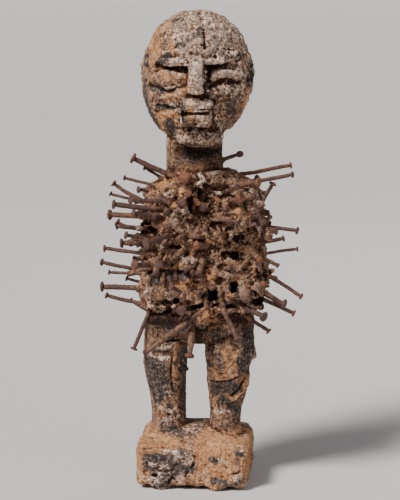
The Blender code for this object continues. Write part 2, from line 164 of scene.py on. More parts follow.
# Relief of the carving: Blender's kind of texture, the size of its lumps, and its other settings
TEXTURES = {
    "crust_folds": ("CLOUDS", 24 * MM, {"noise_depth": 2}),
    "crust_lumps": ("CLOUDS", 12 * MM, {"noise_depth": 3}),
    "crust_cobbles": (
        "DISTORTED_NOISE",
        6.2 * MM,
        {"distortion": 1.4, "noise_basis": "VORONOI_F2_F1", "noise_distortion": "BLENDER_ORIGINAL"},
    ),
    "crust_creases": ("CLOUDS", 4.8 * MM, {"noise_depth": 4, "noise_type": "HARD_NOISE"}),
    "crust_crumbs": ("CLOUDS", 2.3 * MM, {"noise_depth": 3, "contrast": 1.4}),
    "coat_crackle": ("VORONOI", 6 * MM, {"weight_1": -1.0, "weight_2": 1.0, "noise_intensity": 2.2}),
    "coat_flakes": ("CLOUDS", 7 * MM, {"noise_depth": 4, "contrast": 2.2}),
    "coat_dents": ("CLOUDS", 19 * MM, {"noise_depth": 1}),
    "grain_streaks": ("CLOUDS", 2.4 * MM, {"noise_depth": 3, "noise_type": "HARD_NOISE"}),
    "rust_pitting": ("CLOUDS", 1.7 * MM, {"noise_depth": 3}),
}

# How much longer the weathered grain is than it is wide
GRAIN_STRETCH = 7

# Levels of a relief texture that leave the surface where it is, below and above its middle
LOW_LEVEL = 0.35
HIGH_LEVEL = 0.7

# How far rust spreads round a driven nail and a crusted one, and how deep a broken nail is rooted
NAIL_RUST = 11 * MM
PEG_RUST = 6.5 * MM
STUB_ROOT = 7 * MM

# The size of the flakes of the coat, and what a stain, a crack, a dull flake and the painted shade of a
# hollow multiply a colour by
FLAKE = 5.5 * MM
STAINED = (0.42, 0.34, 0.30)
CRACKED = (0.30, 0.23, 0.20)
DEEPLY_CRACKED = (0.20, 0.14, 0.11)
DULL_FLAKE = (0.60, 0.52, 0.48)
PAINTED_SHADE = (0.16, 0.10, 0.075)

# Light from the sky, the places of the three lights that face the figure's middle, and the sun's angle
SKY = (0.80, 0.80, 0.81, 1)
SKY_STRENGTH = 0.15
LIT_MIDDLE = (0, 0, 0.24)
KEY_PLACE = (-0.9, -1.0, 1.7)
KEY_ANGLE = math.radians(16)
FILL_PLACE = (1.3, -1.0, 0.7)
RIM_PLACE = (0.7, 1.2, 1.2)

# The floor's side, the height of its backdrop, and the round bend between them
FLOOR_SIDE = 40
BACKDROP_RISE = 4
BACKDROP_BEND = 2.5

# The camera: to the right of straight ahead, up, its distance, and the point that it looks at
CAMERA_TURN = math.radians(5.5)
CAMERA_RISE = math.radians(9.5)
CAMERA_AWAY = 1.6
CAMERA_TARGET = Vector((0.0038, 0, 0.2101))

# Strokes worked into the front of the carving: how much, how wide, and the line that each follows, in
# millimetres to the right of the middle and up from the floor. A form rises by so much, and sinks where
# that is negative. Calm and crisp say where the surface is smoother and where it has less relief, the
# hollow strokes how strongly painted shade darkens the colour, and the others how strongly a finish shows.
STROKES = {
    "form": {
        "forehead split": (-2.2, 1.2, (10, 408), (12, 391)),
        "left brow": (1.4, 3, (-31, 380), (-18, 383), (-6, 381)),
        "left of the forehead": (1.3, 5, (-29, 388), (-18, 390), (-3, 390)),
        "right of the forehead": (1.3, 5, (13, 390), (26, 390), (38, 388)),
        "bag under the left brow": (0.9, 2.4, (-32, 374), (-18, 377), (-4, 372)),
        "left lower lid": (-2, 2.2, (-37, 359), (-20, 355), (-5, 361)),
        "left cheek": (1.6, 3, (-30, 349), (-9, 352)),
        "step in the left cheek": (-1.8, 2, (-31, 342), (-15, 340)),
        "hollow under the right brow": (-1.9, 2.2, (14, 376), (29, 378), (41, 381)),
        "right wall of the nose": (-3, 3, (15, 376), (15, 364)),
        "right lower lid": (-2.4, 2.4, (16, 360), (28, 364), (41, 362)),
        "nostril shadow": (-1.6, 1.6, (-1, 351), (15, 351)),
        "left wall of the mouth": (-1.4, 2, (-8, 348), (-6, 330)),
        "right wall of the mouth": (-1, 2, (20, 348), (19, 328)),
        "parted lips": (-1.5, 1.2, (-6, 339), (18, 340)),
        "upper lip": (1, 3, (-4, 344), (16, 345)),
        "lower lip": (1.2, 3, (-4, 333), (16, 333)),
        "hollow over the chin": (-1, 4, (-5, 327), (6, 325), (18, 326)),
        "chin": (1.2, 6, (-8, 311), (14, 309)),
        "under the chin": (-1.6, 3, (-14, 303), (18, 301)),
        "right ear hole": (-2.4, 2.4, (48, 375), (48, 363)),
        "right ear rim": (1.4, 1.8, (47, 385), (50, 369), (48, 352)),
        "left ear notch": (-1.8, 1.6, (-41, 383), (-41, 376)),
        "left ear lobe": (1.4, 2, (-41, 362), (-41, 352)),
        "chip over the right brow": (-0.7, 0.9, (18, 391), (28, 392), (39, 390)),
        "flake over the right brow": (1, 4.4, (19, 397), (24, 396)),
        "upper fold of the neck": (3.2, 3, (6, 281), (12, 274), (21, 271), (33, 272)),
        "crease of the neck": (-2.4, 1.1, (8, 277), (14, 270), (31, 270)),
        "lower fold of the neck": (4, 3.4, (6, 273), (12, 267), (30, 268)),
        "left slot in the chest": (-4.5, 2.2, (-1, 265), (0, 252)),
        "right slot in the chest": (-4, 2, (7, 268), (8, 261)),
        "ridge beside the slots": (1.6, 3.4, (-6, 263), (-6, 250)),
        "hole in the chest": (-1.2, 2.6, (11, 262), (18, 259)),
        "right breast hole": (-3, 2.8, (19, 238), (27, 235)),
        "hole under the right arm": (-3.6, 3, (32, 229), (40, 226)),
        "upper belly hole": (-4.4, 3.2, (29, 213), (38, 211)),
        "lower belly hole": (-3.6, 3.2, (27, 202), (34, 199)),
        "left arm hole": (-3, 2.4, (-38, 233), (-34, 231)),
        "left belly hole": (-3, 2.4, (-18, 217), (-12, 217)),
        "hole over the block": (-3.4, 2.6, (-24, 204), (-17, 203)),
        "navel hole": (-6, 3.6, (18, 180), (20, 176)),
        "square hole": (-6.5, 3.4, (37, 187), (38, 183)),
        "right hip hole": (-4.5, 3.4, (55, 182), (57, 176)),
        "crumbling right edge": (-4.5, 2.2, (56, 199), (59, 191)),
        "boss on the right arm": (2.2, 4, (40, 252), (47, 247)),
        "boss on the right elbow": (2.4, 3.4, (55, 238), (59, 233)),
        "boss on the belly": (2.8, 4, (13, 199), (18, 194)),
        "boss left of the belly": (2.4, 4, (-9, 210), (-4, 207)),
        "left breast": (3.5, 11, (-22, 258), (-14, 236)),
        "right breast": (4, 10, (32, 258), (40, 240)),
        "hollow of the left side": (-3.5, 9, (-40, 214), (-26, 210)),
        "hollow between the breasts": (-2.5, 7, (8, 250), (6, 214)),
        "bulge of the belly": (3.5, 12, (16, 196), (34, 200)),
        "right hip": (3.5, 9, (46, 186), (44, 170)),
        "top of the block": (-3.6, 2, (-47, 195), (-24, 196), (0, 197)),
        "crown of the block": (2.2, 4, (-40, 189), (-28, 189)),
        "foot of the block": (2.2, 3, (-41, 165), (-28, 164), (-17, 167)),
        "hem of the trunk": (-6.5, 2.2, (-43, 152), (-18, 160), (12, 168), (42, 166)),
        "groin knob": (3.6, 6, (16, 158), (19, 155)),
        "hole of the groin knob": (-5, 1.5, (17, 157), (18, 156)),
        "fold over the left thigh": (-3, 1.4, (-46, 117), (-33, 130), (-14, 132), (-3, 134)),
        "lip of the left thigh": (1.8, 3, (-34, 124), (-23, 125)),
        "inner groove of the left shin": (-1.8, 1.2, (-19, 116), (-21, 99), (-19, 82)),
        "knob inside the left knee": (2.6, 2, (-9, 101), (-13, 107)),
        "left ankle": (2, 3.5, (-31, 67), (-20, 64)),
        "step across the right knee": (-2, 1.1, (13, 92), (31, 94), (40, 98)),
        "strap of the right shin": (2.6, 2.1, (47, 99), (46, 88), (36, 76), (28, 73)),
        "groove in the strap": (-2.2, 1.5, (45, 96), (41, 86), (33, 79)),
        "boss on the right thigh": (3, 3.5, (51, 122), (52, 115)),
        "lump on the plinth": (1.8, 6, (-35, 25), (-23, 22), (-10, 32), (-3, 33)),
        "insect hole in the plinth": (-7, 1.9, (-34, 13), (-31, 14)),
        "crack along the plinth": (-1.6, 0.9, (-48, 37), (-14, 39)),
        "crack down the plinth": (-1.6, 1.1, (3, 32), (3, 25), (-6, 12)),
        "chip under the plinth": (-2.4, 1.8, (-20, 7), (-17, 12), (-13, 7)),
        "right crack of the plinth": (-2, 1, (37, 16), (44, 18)),
    },
    "calm": {
        "block": (1, 22, (-34, 181), (-8, 179)),
        "chin": (1.6, 11, (-12, 319), (20, 318)),
        "left of the forehead": (0.8, 5, (-30, 389), (-3, 391)),
        "right of the forehead": (0.8, 5, (13, 391), (38, 389)),
    },
    "crisp": {
        "mouth": (0.9, 15, (0, 339), (10, 337)),
        "nose": (0.8, 8, (6, 380), (6, 356)),
        "left eye": (0.5, 8, (-26, 367), (-10, 367)),
        "right eye": (0.5, 7, (20, 369), (38, 373)),
    },
    "bare": {
        "left temple": (0.7, 8, (-37, 397), (-32, 388), (-37, 381)),
        "left side of the crown": (0.7, 4, (-22, 413), (-32, 405)),
        "forehead": (0.5, 5, (-19, 399), (-15, 387)),
        "left eye": (0.4, 6.5, (-25, 368), (-10, 368)),
        "left of the nose": (1, 4, (-4, 358), (-13, 350), (-22, 350)),
        "left jaw": (1.2, 5, (-27, 334), (-15, 333)),
        "under the left jaw": (0.9, 3.5, (-31, 330), (-29, 318)),
        "tip of the nose": (0.6, 4, (2, 356), (9, 355)),
        "lips": (0.9, 4, (0, 346), (0, 332)),
        "right jaw": (0.6, 3, (47, 354), (43, 339)),
        "throat": (1, 3, (-5, 293), (-8, 285), (-12, 280)),
        "left collar": (1.4, 5, (-29, 273), (-20, 277)),
        "left breast": (0.8, 4, (-8, 268), (-12, 259), (-19, 254)),
        "between the slots": (0.8, 4, (3, 258), (6, 251)),
        "right arm": (1.7, 4.2, (40, 252), (47, 247)),
        "belly": (1.8, 5, (13, 199), (18, 194)),
        "top of the block": (0.8, 3, (-26, 200), (-10, 203)),
        "middle of the block": (1.3, 4.4, (-11, 186), (1, 188)),
        "right hem": (0.8, 4, (28, 175), (40, 176)),
        "groin": (1.5, 7, (15, 158), (19, 151)),
        "right thigh": (1.2, 8.5, (32, 121), (34, 104)),
        "inside the right thigh": (0.9, 6, (17, 102), (25, 97)),
        "inside the left shin": (0.9, 3.7, (-16, 116), (-16, 98), (-14, 66)),
        "right ankle": (0.7, 4.4, (14, 77), (16, 66)),
        "strap": (0.8, 2.6, (47, 97), (43, 82), (28, 73)),
        "front edge of the plinth": (1.4, 6, (-45, 42), (-18, 42)),
        "right top of the plinth": (1.3, 10, (12, 41), (33, 38)),
        "front of the plinth": (1.3, 9, (10, 21), (28, 18)),
        "left corner": (1.1, 4, (-48, 28), (-48, 6)),
        "right corner": (1, 5, (40, 46), (49, 38), (49, 14)),
    },
    "soot": {
        "left brow": (1.4, 4, (-29, 379), (-20, 385)),
        "forehead split": (1, 3.4, (6, 407), (9, 401)),
        "bridge of the nose": (0.9, 2.8, (6, 386), (9, 385)),
        "left forehead": (0.8, 3, (-12, 395), (-7, 394)),
        "left crown": (0.8, 3.4, (-17, 415), (-8, 418)),
        "left temple": (0.6, 2.6, (-29, 404), (-28, 398)),
        "left lid": (1.2, 3.7, (-36, 357), (-24, 355)),
        "left edge of the jaw": (1, 4, (-42, 346), (-39, 337), (-32, 322)),
        "left cheek": (1.3, 3.2, (-30, 342), (-17, 341)),
        "left jaw": (1.4, 4.4, (-20, 328), (-18, 318)),
        "left of the mouth": (1.3, 3.2, (-7, 346), (-5, 332)),
        "right of the nose": (1, 4, (14, 359), (21, 359)),
        "right cheek": (0.5, 12, (26, 348), (32, 337)),
        "chin": (0.5, 6, (-14, 308), (10, 305)),
        "right brow": (0.6, 4, (33, 388), (41, 385)),
        # On the throat the soot is partly patina and partly painted shadow of the chin
        "throat": (0.6, 9, (-5, 294), (18, 296)),
        "right ear": (1.6, 3.4, (49, 378), (50, 368), (48, 360)),
        "left ear": (1.3, 3, (-42, 384), (-42, 376)),
        "left ear lobe": (1.2, 3, (-43, 360), (-43, 350)),
        "hollow of the left shin": (0.8, 7, (-31, 108), (-29, 84)),
        "right side of the block": (0.8, 4.4, (42, 185), (39, 167)),
        "block": (1.5, 6, (-33, 189), (-8, 194)),
        # Painted shadow of the trunk's hem on the left hip, laid on as soot
        "shadow of the hem on the left hip": (0.6, 7, (-30, 149), (-11, 145)),
        "left shin": (1.3, 6, (-39, 111), (-37, 93), (-33, 77)),
        "inside the left shin": (0.9, 4.4, (-9, 121), (-10, 86), (-11, 68)),
        "band on the right shin": (1.4, 6, (20, 87), (35, 88)),
        "right edge of the thigh": (0.9, 5.7, (47, 139), (49, 123), (44, 106)),
        "right hip": (0.6, 5, (19, 137), (26, 134)),
        "right ankle": (0.6, 5, (37, 65), (27, 76)),
        "front left of the plinth": (1.3, 12, (-34, 26), (-14, 23), (-27, 9)),
        "top left of the plinth": (0.6, 4, (-29, 48), (-10, 45)),
        "middle of the plinth": (1.1, 8, (-8, 31), (0, 22)),
        "spot on the plinth": (1.2, 3.7, (19, 29), (22, 27)),
        "foot of the plinth": (0.9, 4.4, (20, 10), (29, 8)),
        "top right of the plinth": (0.8, 4, (40, 36), (46, 34)),
        "right foot of the plinth": (0.7, 4, (38, 6), (46, 10)),
    },
    "chalk": {
        "right forehead": (0.35, 14, (24, 407), (32, 394)),
        "left forehead": (0.25, 10, (-9, 406), (-4, 391)),
        "flake over the right brow": (0.7, 4.4, (19, 397), (24, 396)),
        "nose": (0.5, 5, (6, 382), (6, 358)),
        "upper lip": (0.7, 4.4, (11, 345), (18, 345)),
        "lower lip": (0.6, 3.5, (11, 334), (17, 335)),
        "right eye": (0.4, 4.4, (20, 369), (28, 373), (39, 374)),
        "worn left temple": (-0.6, 13, (-36, 397), (-33, 381), (-40, 366)),
        "worn left eye": (-0.25, 8, (-26, 367), (-10, 367)),
        "worn right cheek": (-0.35, 12, (26, 348), (32, 336)),
        "worn left cheek": (-0.6, 13, (-36, 350), (-24, 336), (-22, 322)),
        "worn right jaw": (-0.3, 8, (40, 338), (28, 320)),
        "worn chin": (-0.2, 9, (-3, 309), (14, 309)),
        "worn right hip": (-1.2, 10, (44, 181), (56, 184)),
        "upper fold of the neck": (1.7, 2.6, (6, 281), (12, 274), (33, 272)),
        "lower fold of the neck": (1.7, 3, (6, 273), (12, 266), (30, 268)),
        "base of the neck": (1.3, 4.4, (6, 283), (18, 282)),
        "ridge beside the slots": (1, 4, (-6, 262), (-6, 250)),
        "left shoulder": (0.9, 4, (-30, 262), (-20, 265)),
        "right shoulder": (1.1, 5, (38, 268), (44, 262), (50, 264)),
        "breast": (0.6, 8, (7, 248), (20, 232)),
        "left breast": (0.6, 5, (-17, 228), (-10, 216)),
        "boss left of the belly": (1.3, 4, (-9, 210), (-3, 207)),
        "left arm": (1.3, 3, (-33, 222), (-29, 220)),
        "right elbow": (1.3, 4, (55, 238), (60, 233)),
        "left edge of the block": (0.4, 4.4, (-42, 192), (-41, 178)),
        "left of the block": (0.9, 5, (-37, 181), (-35, 172)),
        "middle of the block": (0.9, 2.6, (-22, 179), (-19, 170)),
        "foot of the block": (0.9, 4, (-38, 169), (-28, 164), (-17, 168)),
        "left thigh": (1, 5, (-34, 126), (-22, 126)),
        "under the left thigh": (0.6, 4.7, (-39, 117), (-23, 117)),
        "left shin": (0.5, 5.7, (-27, 112), (-25, 98)),
        "left calf": (0.6, 6, (-30, 89), (-21, 80)),
        "left ankle": (0.85, 7.5, (-31, 68), (-17, 63), (-26, 57)),
        "right thigh": (0.7, 5, (22, 125), (25, 111)),
        "edge of the right thigh": (0.7, 3, (46, 127), (50, 117), (47, 108)),
        "right ankle": (0.6, 5, (17, 65), (34, 64)),
        "left top of the plinth": (0.7, 5.7, (-40, 43), (-31, 47)),
        "top of the plinth": (0.6, 8, (-8, 49), (25, 48)),
        "lump on the plinth": (1.2, 4, (-22, 34), (-12, 34)),
        "worn left of the plinth": (0.8, 11, (-36, 24), (-20, 20), (-29, 9)),
        "middle of the plinth": (0.8, 6, (-10, 30), (-1, 28)),
        "run down the plinth": (0.7, 5, (-1, 36), (-8, 19), (-12, 8)),
        "spot on the plinth": (1, 3, (25, 30), (30, 26)),
        "right foot of the plinth": (0.6, 4.4, (37, 11), (45, 15)),
        "right edge of the plinth": (0.6, 3.5, (43, 42), (47, 34)),
    },
    # Painted shade, not a finish: each stroke darkens the colour where shade falls, in cracks and holes,
    # under the chin, the mouth and the hem, between the thighs, on the block and the left flank, and on the
    # right cheek and the right side and foot of the plinth
    "hollow": {
        "forehead split": (0.5, 1.6, (10, 408), (12, 390)),
        "right side of the plinth": (0.35, 6, (53, 40), (53, 8)),
        "foot of the plinth": (0.35, 4, (-46, 2), (46, 2)),
        "right hip": (0.5, 10, (44, 181), (56, 184)),
        "under the chin": (0.5, 5, (-16, 302), (4, 299), (22, 302)),
        "under the mouth": (0.5, 5, (-5, 326), (18, 325)),
        "chin": (0.22, 9, (-12, 316), (20, 316)),
        "right cheek": (0.25, 16, (36, 344), (40, 326)),
        "block": (0.3, 18, (-34, 182), (-12, 178)),
        "left flank": (0.3, 8, (-46, 232), (-46, 205)),
        "left under the hem": (0.5, 8, (-40, 150), (-8, 152)),
        "right under the hem": (0.5, 7, (32, 156), (46, 152)),
        "between the thighs": (0.5, 7, (4, 130), (4, 140)),
        "hole of the groin knob": (0.9, 2, (17, 157), (18, 156)),
    },
    "rust": {
        "right hip": (0.8, 8, (42, 182), (56, 184)),
        "corner of the left eye": (1, 3.5, (-6, 368), (-3, 364)),
        "between the arms": (0.8, 4, (10, 224), (12, 216)),
        "breast": (0.9, 3, (12, 241), (15, 239)),
        "block": (0.6, 6, (-8, 193), (6, 184)),
    },
}


# How much of each finish lies on the parts of the carving, before the strokes. The shaded hollow is no
# finish but painted shade: on the neck it paints the chin's shadow, on the hips the shadow under the
# trunk's hem, and on the legs it darkens them as a whole. The neck's soot and its want of chalk and bare
# wood are partly its dark patina and partly the chin's painted shadow.
GROUND = {
    "bare": {"head": 0.26, "neck": -0.05, "trunk": 0.16, "hips": -0.10, "legs": 0.13, "plinth": 0.56},
    "soot": {"head": 0.12, "neck": 0.25, "trunk": -0.05, "legs": 0.42, "plinth": 0.10},
    "chalk": {"head": 0.64, "neck": -0.45, "trunk": 0.0, "hips": -0.20, "legs": 0.02, "plinth": 0.18},
    "hollow": {"neck": 0.50, "hips": 0.26, "legs": 0.22},
}


class CarvingSettings(bpy.types.PropertyGroup):
    """Sizes of the carved wood and its crust."""

    grain: bpy.props.FloatProperty(
        name="Facet size", description="Side of one facet of the surface", default=0.00092, unit="LENGTH"
    )
    crust: bpy.props.FloatProperty(
        name="Crust relief",
        description="Height of the cobbled crust on the trunk",
        default=0.0042,
        unit="LENGTH",
    )
    crease: bpy.props.FloatProperty(
        name="Crease relief", description="Depth of the creases in the crust", default=0.0024, unit="LENGTH"
    )
    pegs: bpy.props.IntProperty(
        name="Crusted nails",
        description="How many nails the crust of the trunk has grown over",
        default=60,
        min=0,
    )
    lumps: bpy.props.IntProperty(
        name="Lumps", description="How many lumps of earth stick to the trunk", default=70, min=0
    )
    crackle: bpy.props.FloatProperty(
        name="Crackle depth",
        description="Depth of the cracks in the coat on the head",
        default=0.0009,
        unit="LENGTH",
    )
    streak: bpy.props.FloatProperty(
        name="Streak depth", description="Depth of the weathered grain", default=0.0011, unit="LENGTH"
    )


class NailSettings(bpy.types.PropertyGroup):
    """Sizes of the rust on the nails."""

    pitting: bpy.props.FloatProperty(
        name="Pitting", description="Depth of the pits in the rust", default=0.0005, unit="LENGTH"
    )
    stubs: bpy.props.IntProperty(
        name="Stubs", description="How many broken nails stand in the crust of the trunk", default=58, min=0
    )


class ColourSettings(bpy.types.PropertyGroup):
    """Colours of the wood, its crust and the iron."""

    bare: bpy.props.FloatVectorProperty(
        name="Bare wood",
        description="Orange-tan wood",
        default=(0.68, 0.345, 0.16),
        size=3,
        subtype="COLOR",
    )
    earth: bpy.props.FloatVectorProperty(
        name="Earth crust",
        description="Dark earth of the crust",
        default=(0.150, 0.078, 0.046),
        size=3,
        subtype="COLOR",
    )
    chalk: bpy.props.FloatVectorProperty(
        name="Chalky coat",
        description="Pale pinkish coat",
        default=(0.78, 0.56, 0.435),
        size=3,
        subtype="COLOR",
    )
    soot: bpy.props.FloatVectorProperty(
        name="Soot",
        description="Blackened patina",
        default=(0.040, 0.030, 0.027),
        size=3,
        subtype="COLOR",
    )
    slate: bpy.props.FloatVectorProperty(
        name="Slate patina",
        description="Blue-grey stains in the coat",
        default=(0.13, 0.115, 0.115),
        size=3,
        subtype="COLOR",
    )
    rust: bpy.props.FloatVectorProperty(
        name="Rust",
        description="Bright rust",
        default=(0.29, 0.105, 0.045),
        size=3,
        subtype="COLOR",
    )
    iron: bpy.props.FloatVectorProperty(
        name="Dark iron",
        description="Dull purplish iron",
        default=(0.078, 0.037, 0.029),
        size=3,
        subtype="COLOR",
    )


class StageSettings(bpy.types.PropertyGroup):
    """Floor, light and camera."""

    floor: bpy.props.FloatVectorProperty(
        name="Floor",
        description="Pale floor",
        default=(0.62, 0.61, 0.60),
        size=3,
        subtype="COLOR",
    )
    key: bpy.props.FloatProperty(name="Key light", description="Strength of the key light", default=5.2)
    fill: bpy.props.FloatProperty(
        name="Fill lights", description="Power of each fill light, in watts", default=5
    )
    lens: bpy.props.FloatProperty(name="Lens", description="Focal length, in mm", default=128.5)


# Helpers for meshes


def only(*objs):
    """Selects these objects alone; the last one is active."""
    for obj in bpy.context.view_layer.objects:
        obj.select_set(False)
    for obj in objs:
        obj.select_set(True)
    bpy.context.view_layer.objects.active = objs[-1]


def join(objs, name):
    only(*objs)
    if len(objs) > 1:
        bpy.ops.object.join()
    joined = bpy.context.view_layer.objects.active
    joined.name = joined.data.name = name
    return joined


def place_in_mesh(obj):
    only(obj)
    bpy.ops.object.transform_apply(location=True, rotation=True, scale=True)


def copy_of(node, name):
    """A copy of a node's mesh with its loose triangles merged."""
    obj = bpy.data.objects.new(name, node.data.copy())
    bpy.context.scene.collection.objects.link(obj)
    obj.data.materials.clear()
    only(obj)
    bpy.ops.object.mode_set(mode="EDIT")
    bpy.ops.mesh.select_all(action="SELECT")
    bpy.ops.mesh.remove_doubles(threshold=1e-6)
    bpy.ops.object.mode_set(mode="OBJECT")
    return obj


def tree_of(obj):
    corners = [vertex.co for vertex in obj.data.vertices]
    return BVHTree.FromPolygons(corners, [polygon.vertices for polygon in obj.data.polygons])


def turned_to(direction):
    return Vector((0, 0, 1)).rotation_difference(direction).to_euler()


def finish_modifier(obj, kind, **settings):
    """Adds a modifier and applies it."""
    modifier = obj.modifiers.new(kind.title(), kind)
    for key, value in settings.items():
        setattr(modifier, key, value)
    only(obj)
    bpy.ops.object.modifier_apply(modifier=modifier.name)


def points_of(mesh):
    places = np.empty(len(mesh.vertices) * 3)
    mesh.vertices.foreach_get("co", places)
    return places.reshape(-1, 3)


def normals_of(mesh):
    normals = np.empty(len(mesh.vertices) * 3)
    mesh.vertex_normals.foreach_get("vector", normals)
    return normals.reshape(-1, 3)


def set_points(mesh, places):
    mesh.vertices.foreach_set("co", places.ravel())
    mesh.update()


def smooth_mean(mesh, values, rounds):
    """Values averaged with their neighbours again and again."""
    edges = np.empty(len(mesh.edges) * 2, int)
    mesh.edges.foreach_get("vertices", edges)
    one, other = edges.reshape(-1, 2).T
    count = len(mesh.vertices)
    share = 1 / (1 + np.bincount(one, minlength=count) + np.bincount(other, minlength=count))
    values = values.reshape(count, -1).copy()
    for _ in range(rounds):
        for column in range(values.shape[1]):
            line = values[:, column]
            around = np.bincount(one, line[other], count) + np.bincount(other, line[one], count)
            values[:, column] = (line + around) * share
    return values


def set_attribute(mesh, name, values):
    layer = mesh.attributes.get(name) or mesh.attributes.new(name, "FLOAT", "POINT")
    layer.data.foreach_set("value", np.ascontiguousarray(values, dtype=np.float32).ravel())


def set_group(obj, name, weights):
    """A vertex group from one weight for each vertex."""
    group = obj.vertex_groups.get(name) or obj.vertex_groups.new(name=name)
    levels = np.round(np.clip(weights, 0, 1) * 20).astype(int)
    for level in range(1, 21):
        group.add(np.nonzero(levels == level)[0].tolist(), level / 20, "REPLACE")


def smoothstep(low, high, values):
    t = np.clip((values - low) / (high - low), 0, 1)
    return t * t * (3 - 2 * t)


def relief_texture(name):
    """One of the relief textures, made when it is first asked for."""
    if name in bpy.data.textures:
        return bpy.data.textures[name]
    kind, size, settings = TEXTURES[name]
    texture = bpy.data.textures.new(name, kind)
    texture.noise_scale = size
    for key, value in settings.items():
        setattr(texture, key, value)
    return texture


def emboss(obj, texture, strength, group="", middle=0.5, along=None):
    """Moves the surface in and out by a relief texture, within a vertex group or all over."""
    settings = {
        "texture": relief_texture(texture),
        "strength": strength,
        "mid_level": middle,
        "vertex_group": group,
    }
    if along is not None:
        settings["texture_coords"] = "OBJECT"
        settings["texture_coords_object"] = along
    else:
        settings["texture_coords"] = "LOCAL"
    finish_modifier(obj, "DISPLACE", **settings)


# Nails


class Spine:
    """The middle line of a nail, read from the rings of a node's mesh or given as points."""

    def __init__(self, points, shank):
        self.points = [Vector(point) for point in points]
        self.shank = shank
        self.lengths = [0]
        for low, high in zip(self.points, self.points[1:]):
            self.lengths.append(self.lengths[-1] + (high - low).length)

    @property
    def length(self):
        return self.lengths[-1]

    def at(self, distance):
        """Place and direction at a distance from the point."""
        for count, (low, high) in enumerate(zip(self.points, self.points[1:])):
            start, end = self.lengths[count], self.lengths[count + 1]
            if distance <= end or count == len(self.points) - 2:
                share = (distance - start) / max(end - start, 1e-9)
                return low.lerp(high, share), (high - low).normalized()
        raise ValueError("a spine needs two points")


def node_rings(node):
    """Centres and radii of a nail node's rings, from its driven point to the top of its head."""
    mesh = copy_of(node, "ring_reader")
    places = [v.co.copy() for v in mesh.data.vertices]
    links = [set() for _ in places]
    for edge in mesh.data.edges:
        one, other = edge.vertices
        links[one].add(other)
        links[other].add(one)
    bpy.data.objects.remove(mesh, do_unlink=True)
    close = [
        {count for count, other in enumerate(places) if (place - other).length < POINT_SPAN}
        for place in places
    ]
    ring = max(close, key=len)
    seen, rings = set(), []
    while ring:
        seen |= ring
        middle = sum((places[i] for i in ring), Vector()) / len(ring)
        rings.append((middle, sum((places[i] - middle).length for i in ring) / len(ring)))
        ring = {j for i in ring for j in links[i]} - seen
    return rings


def nail_spines():
    """Each nail node's spine from its point to under its head, and the place where it enters the wood."""
    spines = {}
    for name, node in frame["nodes"].items():
        if name == "figure":
            continue
        rings = node_rings(node)
        shank = rings[1][1]
        entry = rings[1][0] + (rings[1][0] - rings[0][0]).normalized() * TAPER_TO_WOOD
        points = [middle for middle, _ in rings[:-2]]
        spines[name] = (Spine(points, shank), entry)
    return spines


def nail_template(name, sides, segments, headed):
    """A nail along +Z: z is 0 at the point and 1 under the head, and above 1 counts shank radii."""
    only(WOOD)
    bpy.ops.mesh.primitive_circle_add(
        vertices=sides, radius=TIP_RADIUS, fill_type="NGON", location=(0, 0, 0)
    )
    obj = bpy.context.view_layer.objects.active
    obj.name = name
    bpy.ops.object.mode_set(mode="EDIT")
    bpy.ops.mesh.select_all(action="SELECT")

    def grow(rise, spread):
        bpy.ops.mesh.extrude_region_move(TRANSFORM_OT_translate={"value": (0, 0, rise)})
        bpy.ops.transform.resize(value=(spread, spread, 1), center_override=(0, 0, 0))

    grow(TAPER, 1 / TIP_RADIUS)
    for _ in range(segments):
        grow((1 - TAPER) / segments, 1)
    for rise, spread in HEAD_RINGS if headed else BROKEN_RINGS:
        grow(rise, spread)
    bpy.ops.mesh.select_all(action="SELECT")
    bpy.ops.mesh.normals_make_consistent(inside=False)
    bpy.ops.object.mode_set(mode="OBJECT")
    return obj


def wandering(place):
    """Smooth noise on each axis. The library's own noise vector changes from run to run."""
    return Vector((noise.noise(place), noise.noise(place.yzx + WANDER), noise.noise(place.zxy - WANDER)))


class Wear:
    """One nail's own wear, always drawn in the same order."""

    def __init__(self, seed, head, tone):
        draw = random.Random(seed)
        tip_x = Matrix.Rotation(draw.uniform(-0.16, 0.16), 3, "X")
        self.tilt = tip_x @ Matrix.Rotation(draw.uniform(-0.16, 0.16), 3, "Y")
        self.wobble = Vector((draw.uniform(-50, 50), draw.uniform(-50, 50), draw.uniform(-50, 50)))
        self.own = draw.random()
        self.tone = self.own if tone is None else tone
        self.swell = head * draw.uniform(0.92, 1.06)
        self.squash = draw.uniform(0.86, 1.0)
        self.turn = draw.uniform(0, math.pi)

    def head(self, x, y, z, dome):
        """A point of the head, dented round its rim, squashed one way, domed and tilted."""
        flat = Vector((x, y, z - 1))
        lean = math.atan2(y, x)
        dents = noise.noise(Vector((2 * math.cos(lean), 2 * math.sin(lean), self.own * 40)))
        narrow = 1 - (1 - self.squash) * abs(math.cos(lean - self.turn))
        if math.hypot(x, y) > 1.05 or z > 1.3:
            flat.x *= self.swell * (1 + 0.20 * dents) * narrow
            flat.y *= self.swell * (1 + 0.20 * dents) * narrow
        flat.z *= dome
        return self.tilt @ flat

    def shank(self, x, y, z, distance, middle, crust, coat):
        """A point of the shank, thicker where it leaves the wood and where earth coats it."""
        foot = faded(distance, LEAVES_WOOD, FOOT_FADE)
        rough = noise.noise(middle * 260 + self.wobble) * 0.5
        rough += noise.noise(Vector((x, y, 0)) * 1.2 + middle * 500) * 0.4
        earthed = coat * min(1, max(0, min(z - COAT_FROM, COAT_TO - z) / COAT_END))
        thick = 1.2 + crust * foot * foot + earthed * 0.8 + (0.2 + 1.2 * earthed) * rough
        return Vector((x * thick, y * thick, 0))


def faded(distance, start, length):
    """1 up to the start, and down to 0 over this length."""
    return max(0.0, 1 - max(0.0, distance - start) / length)


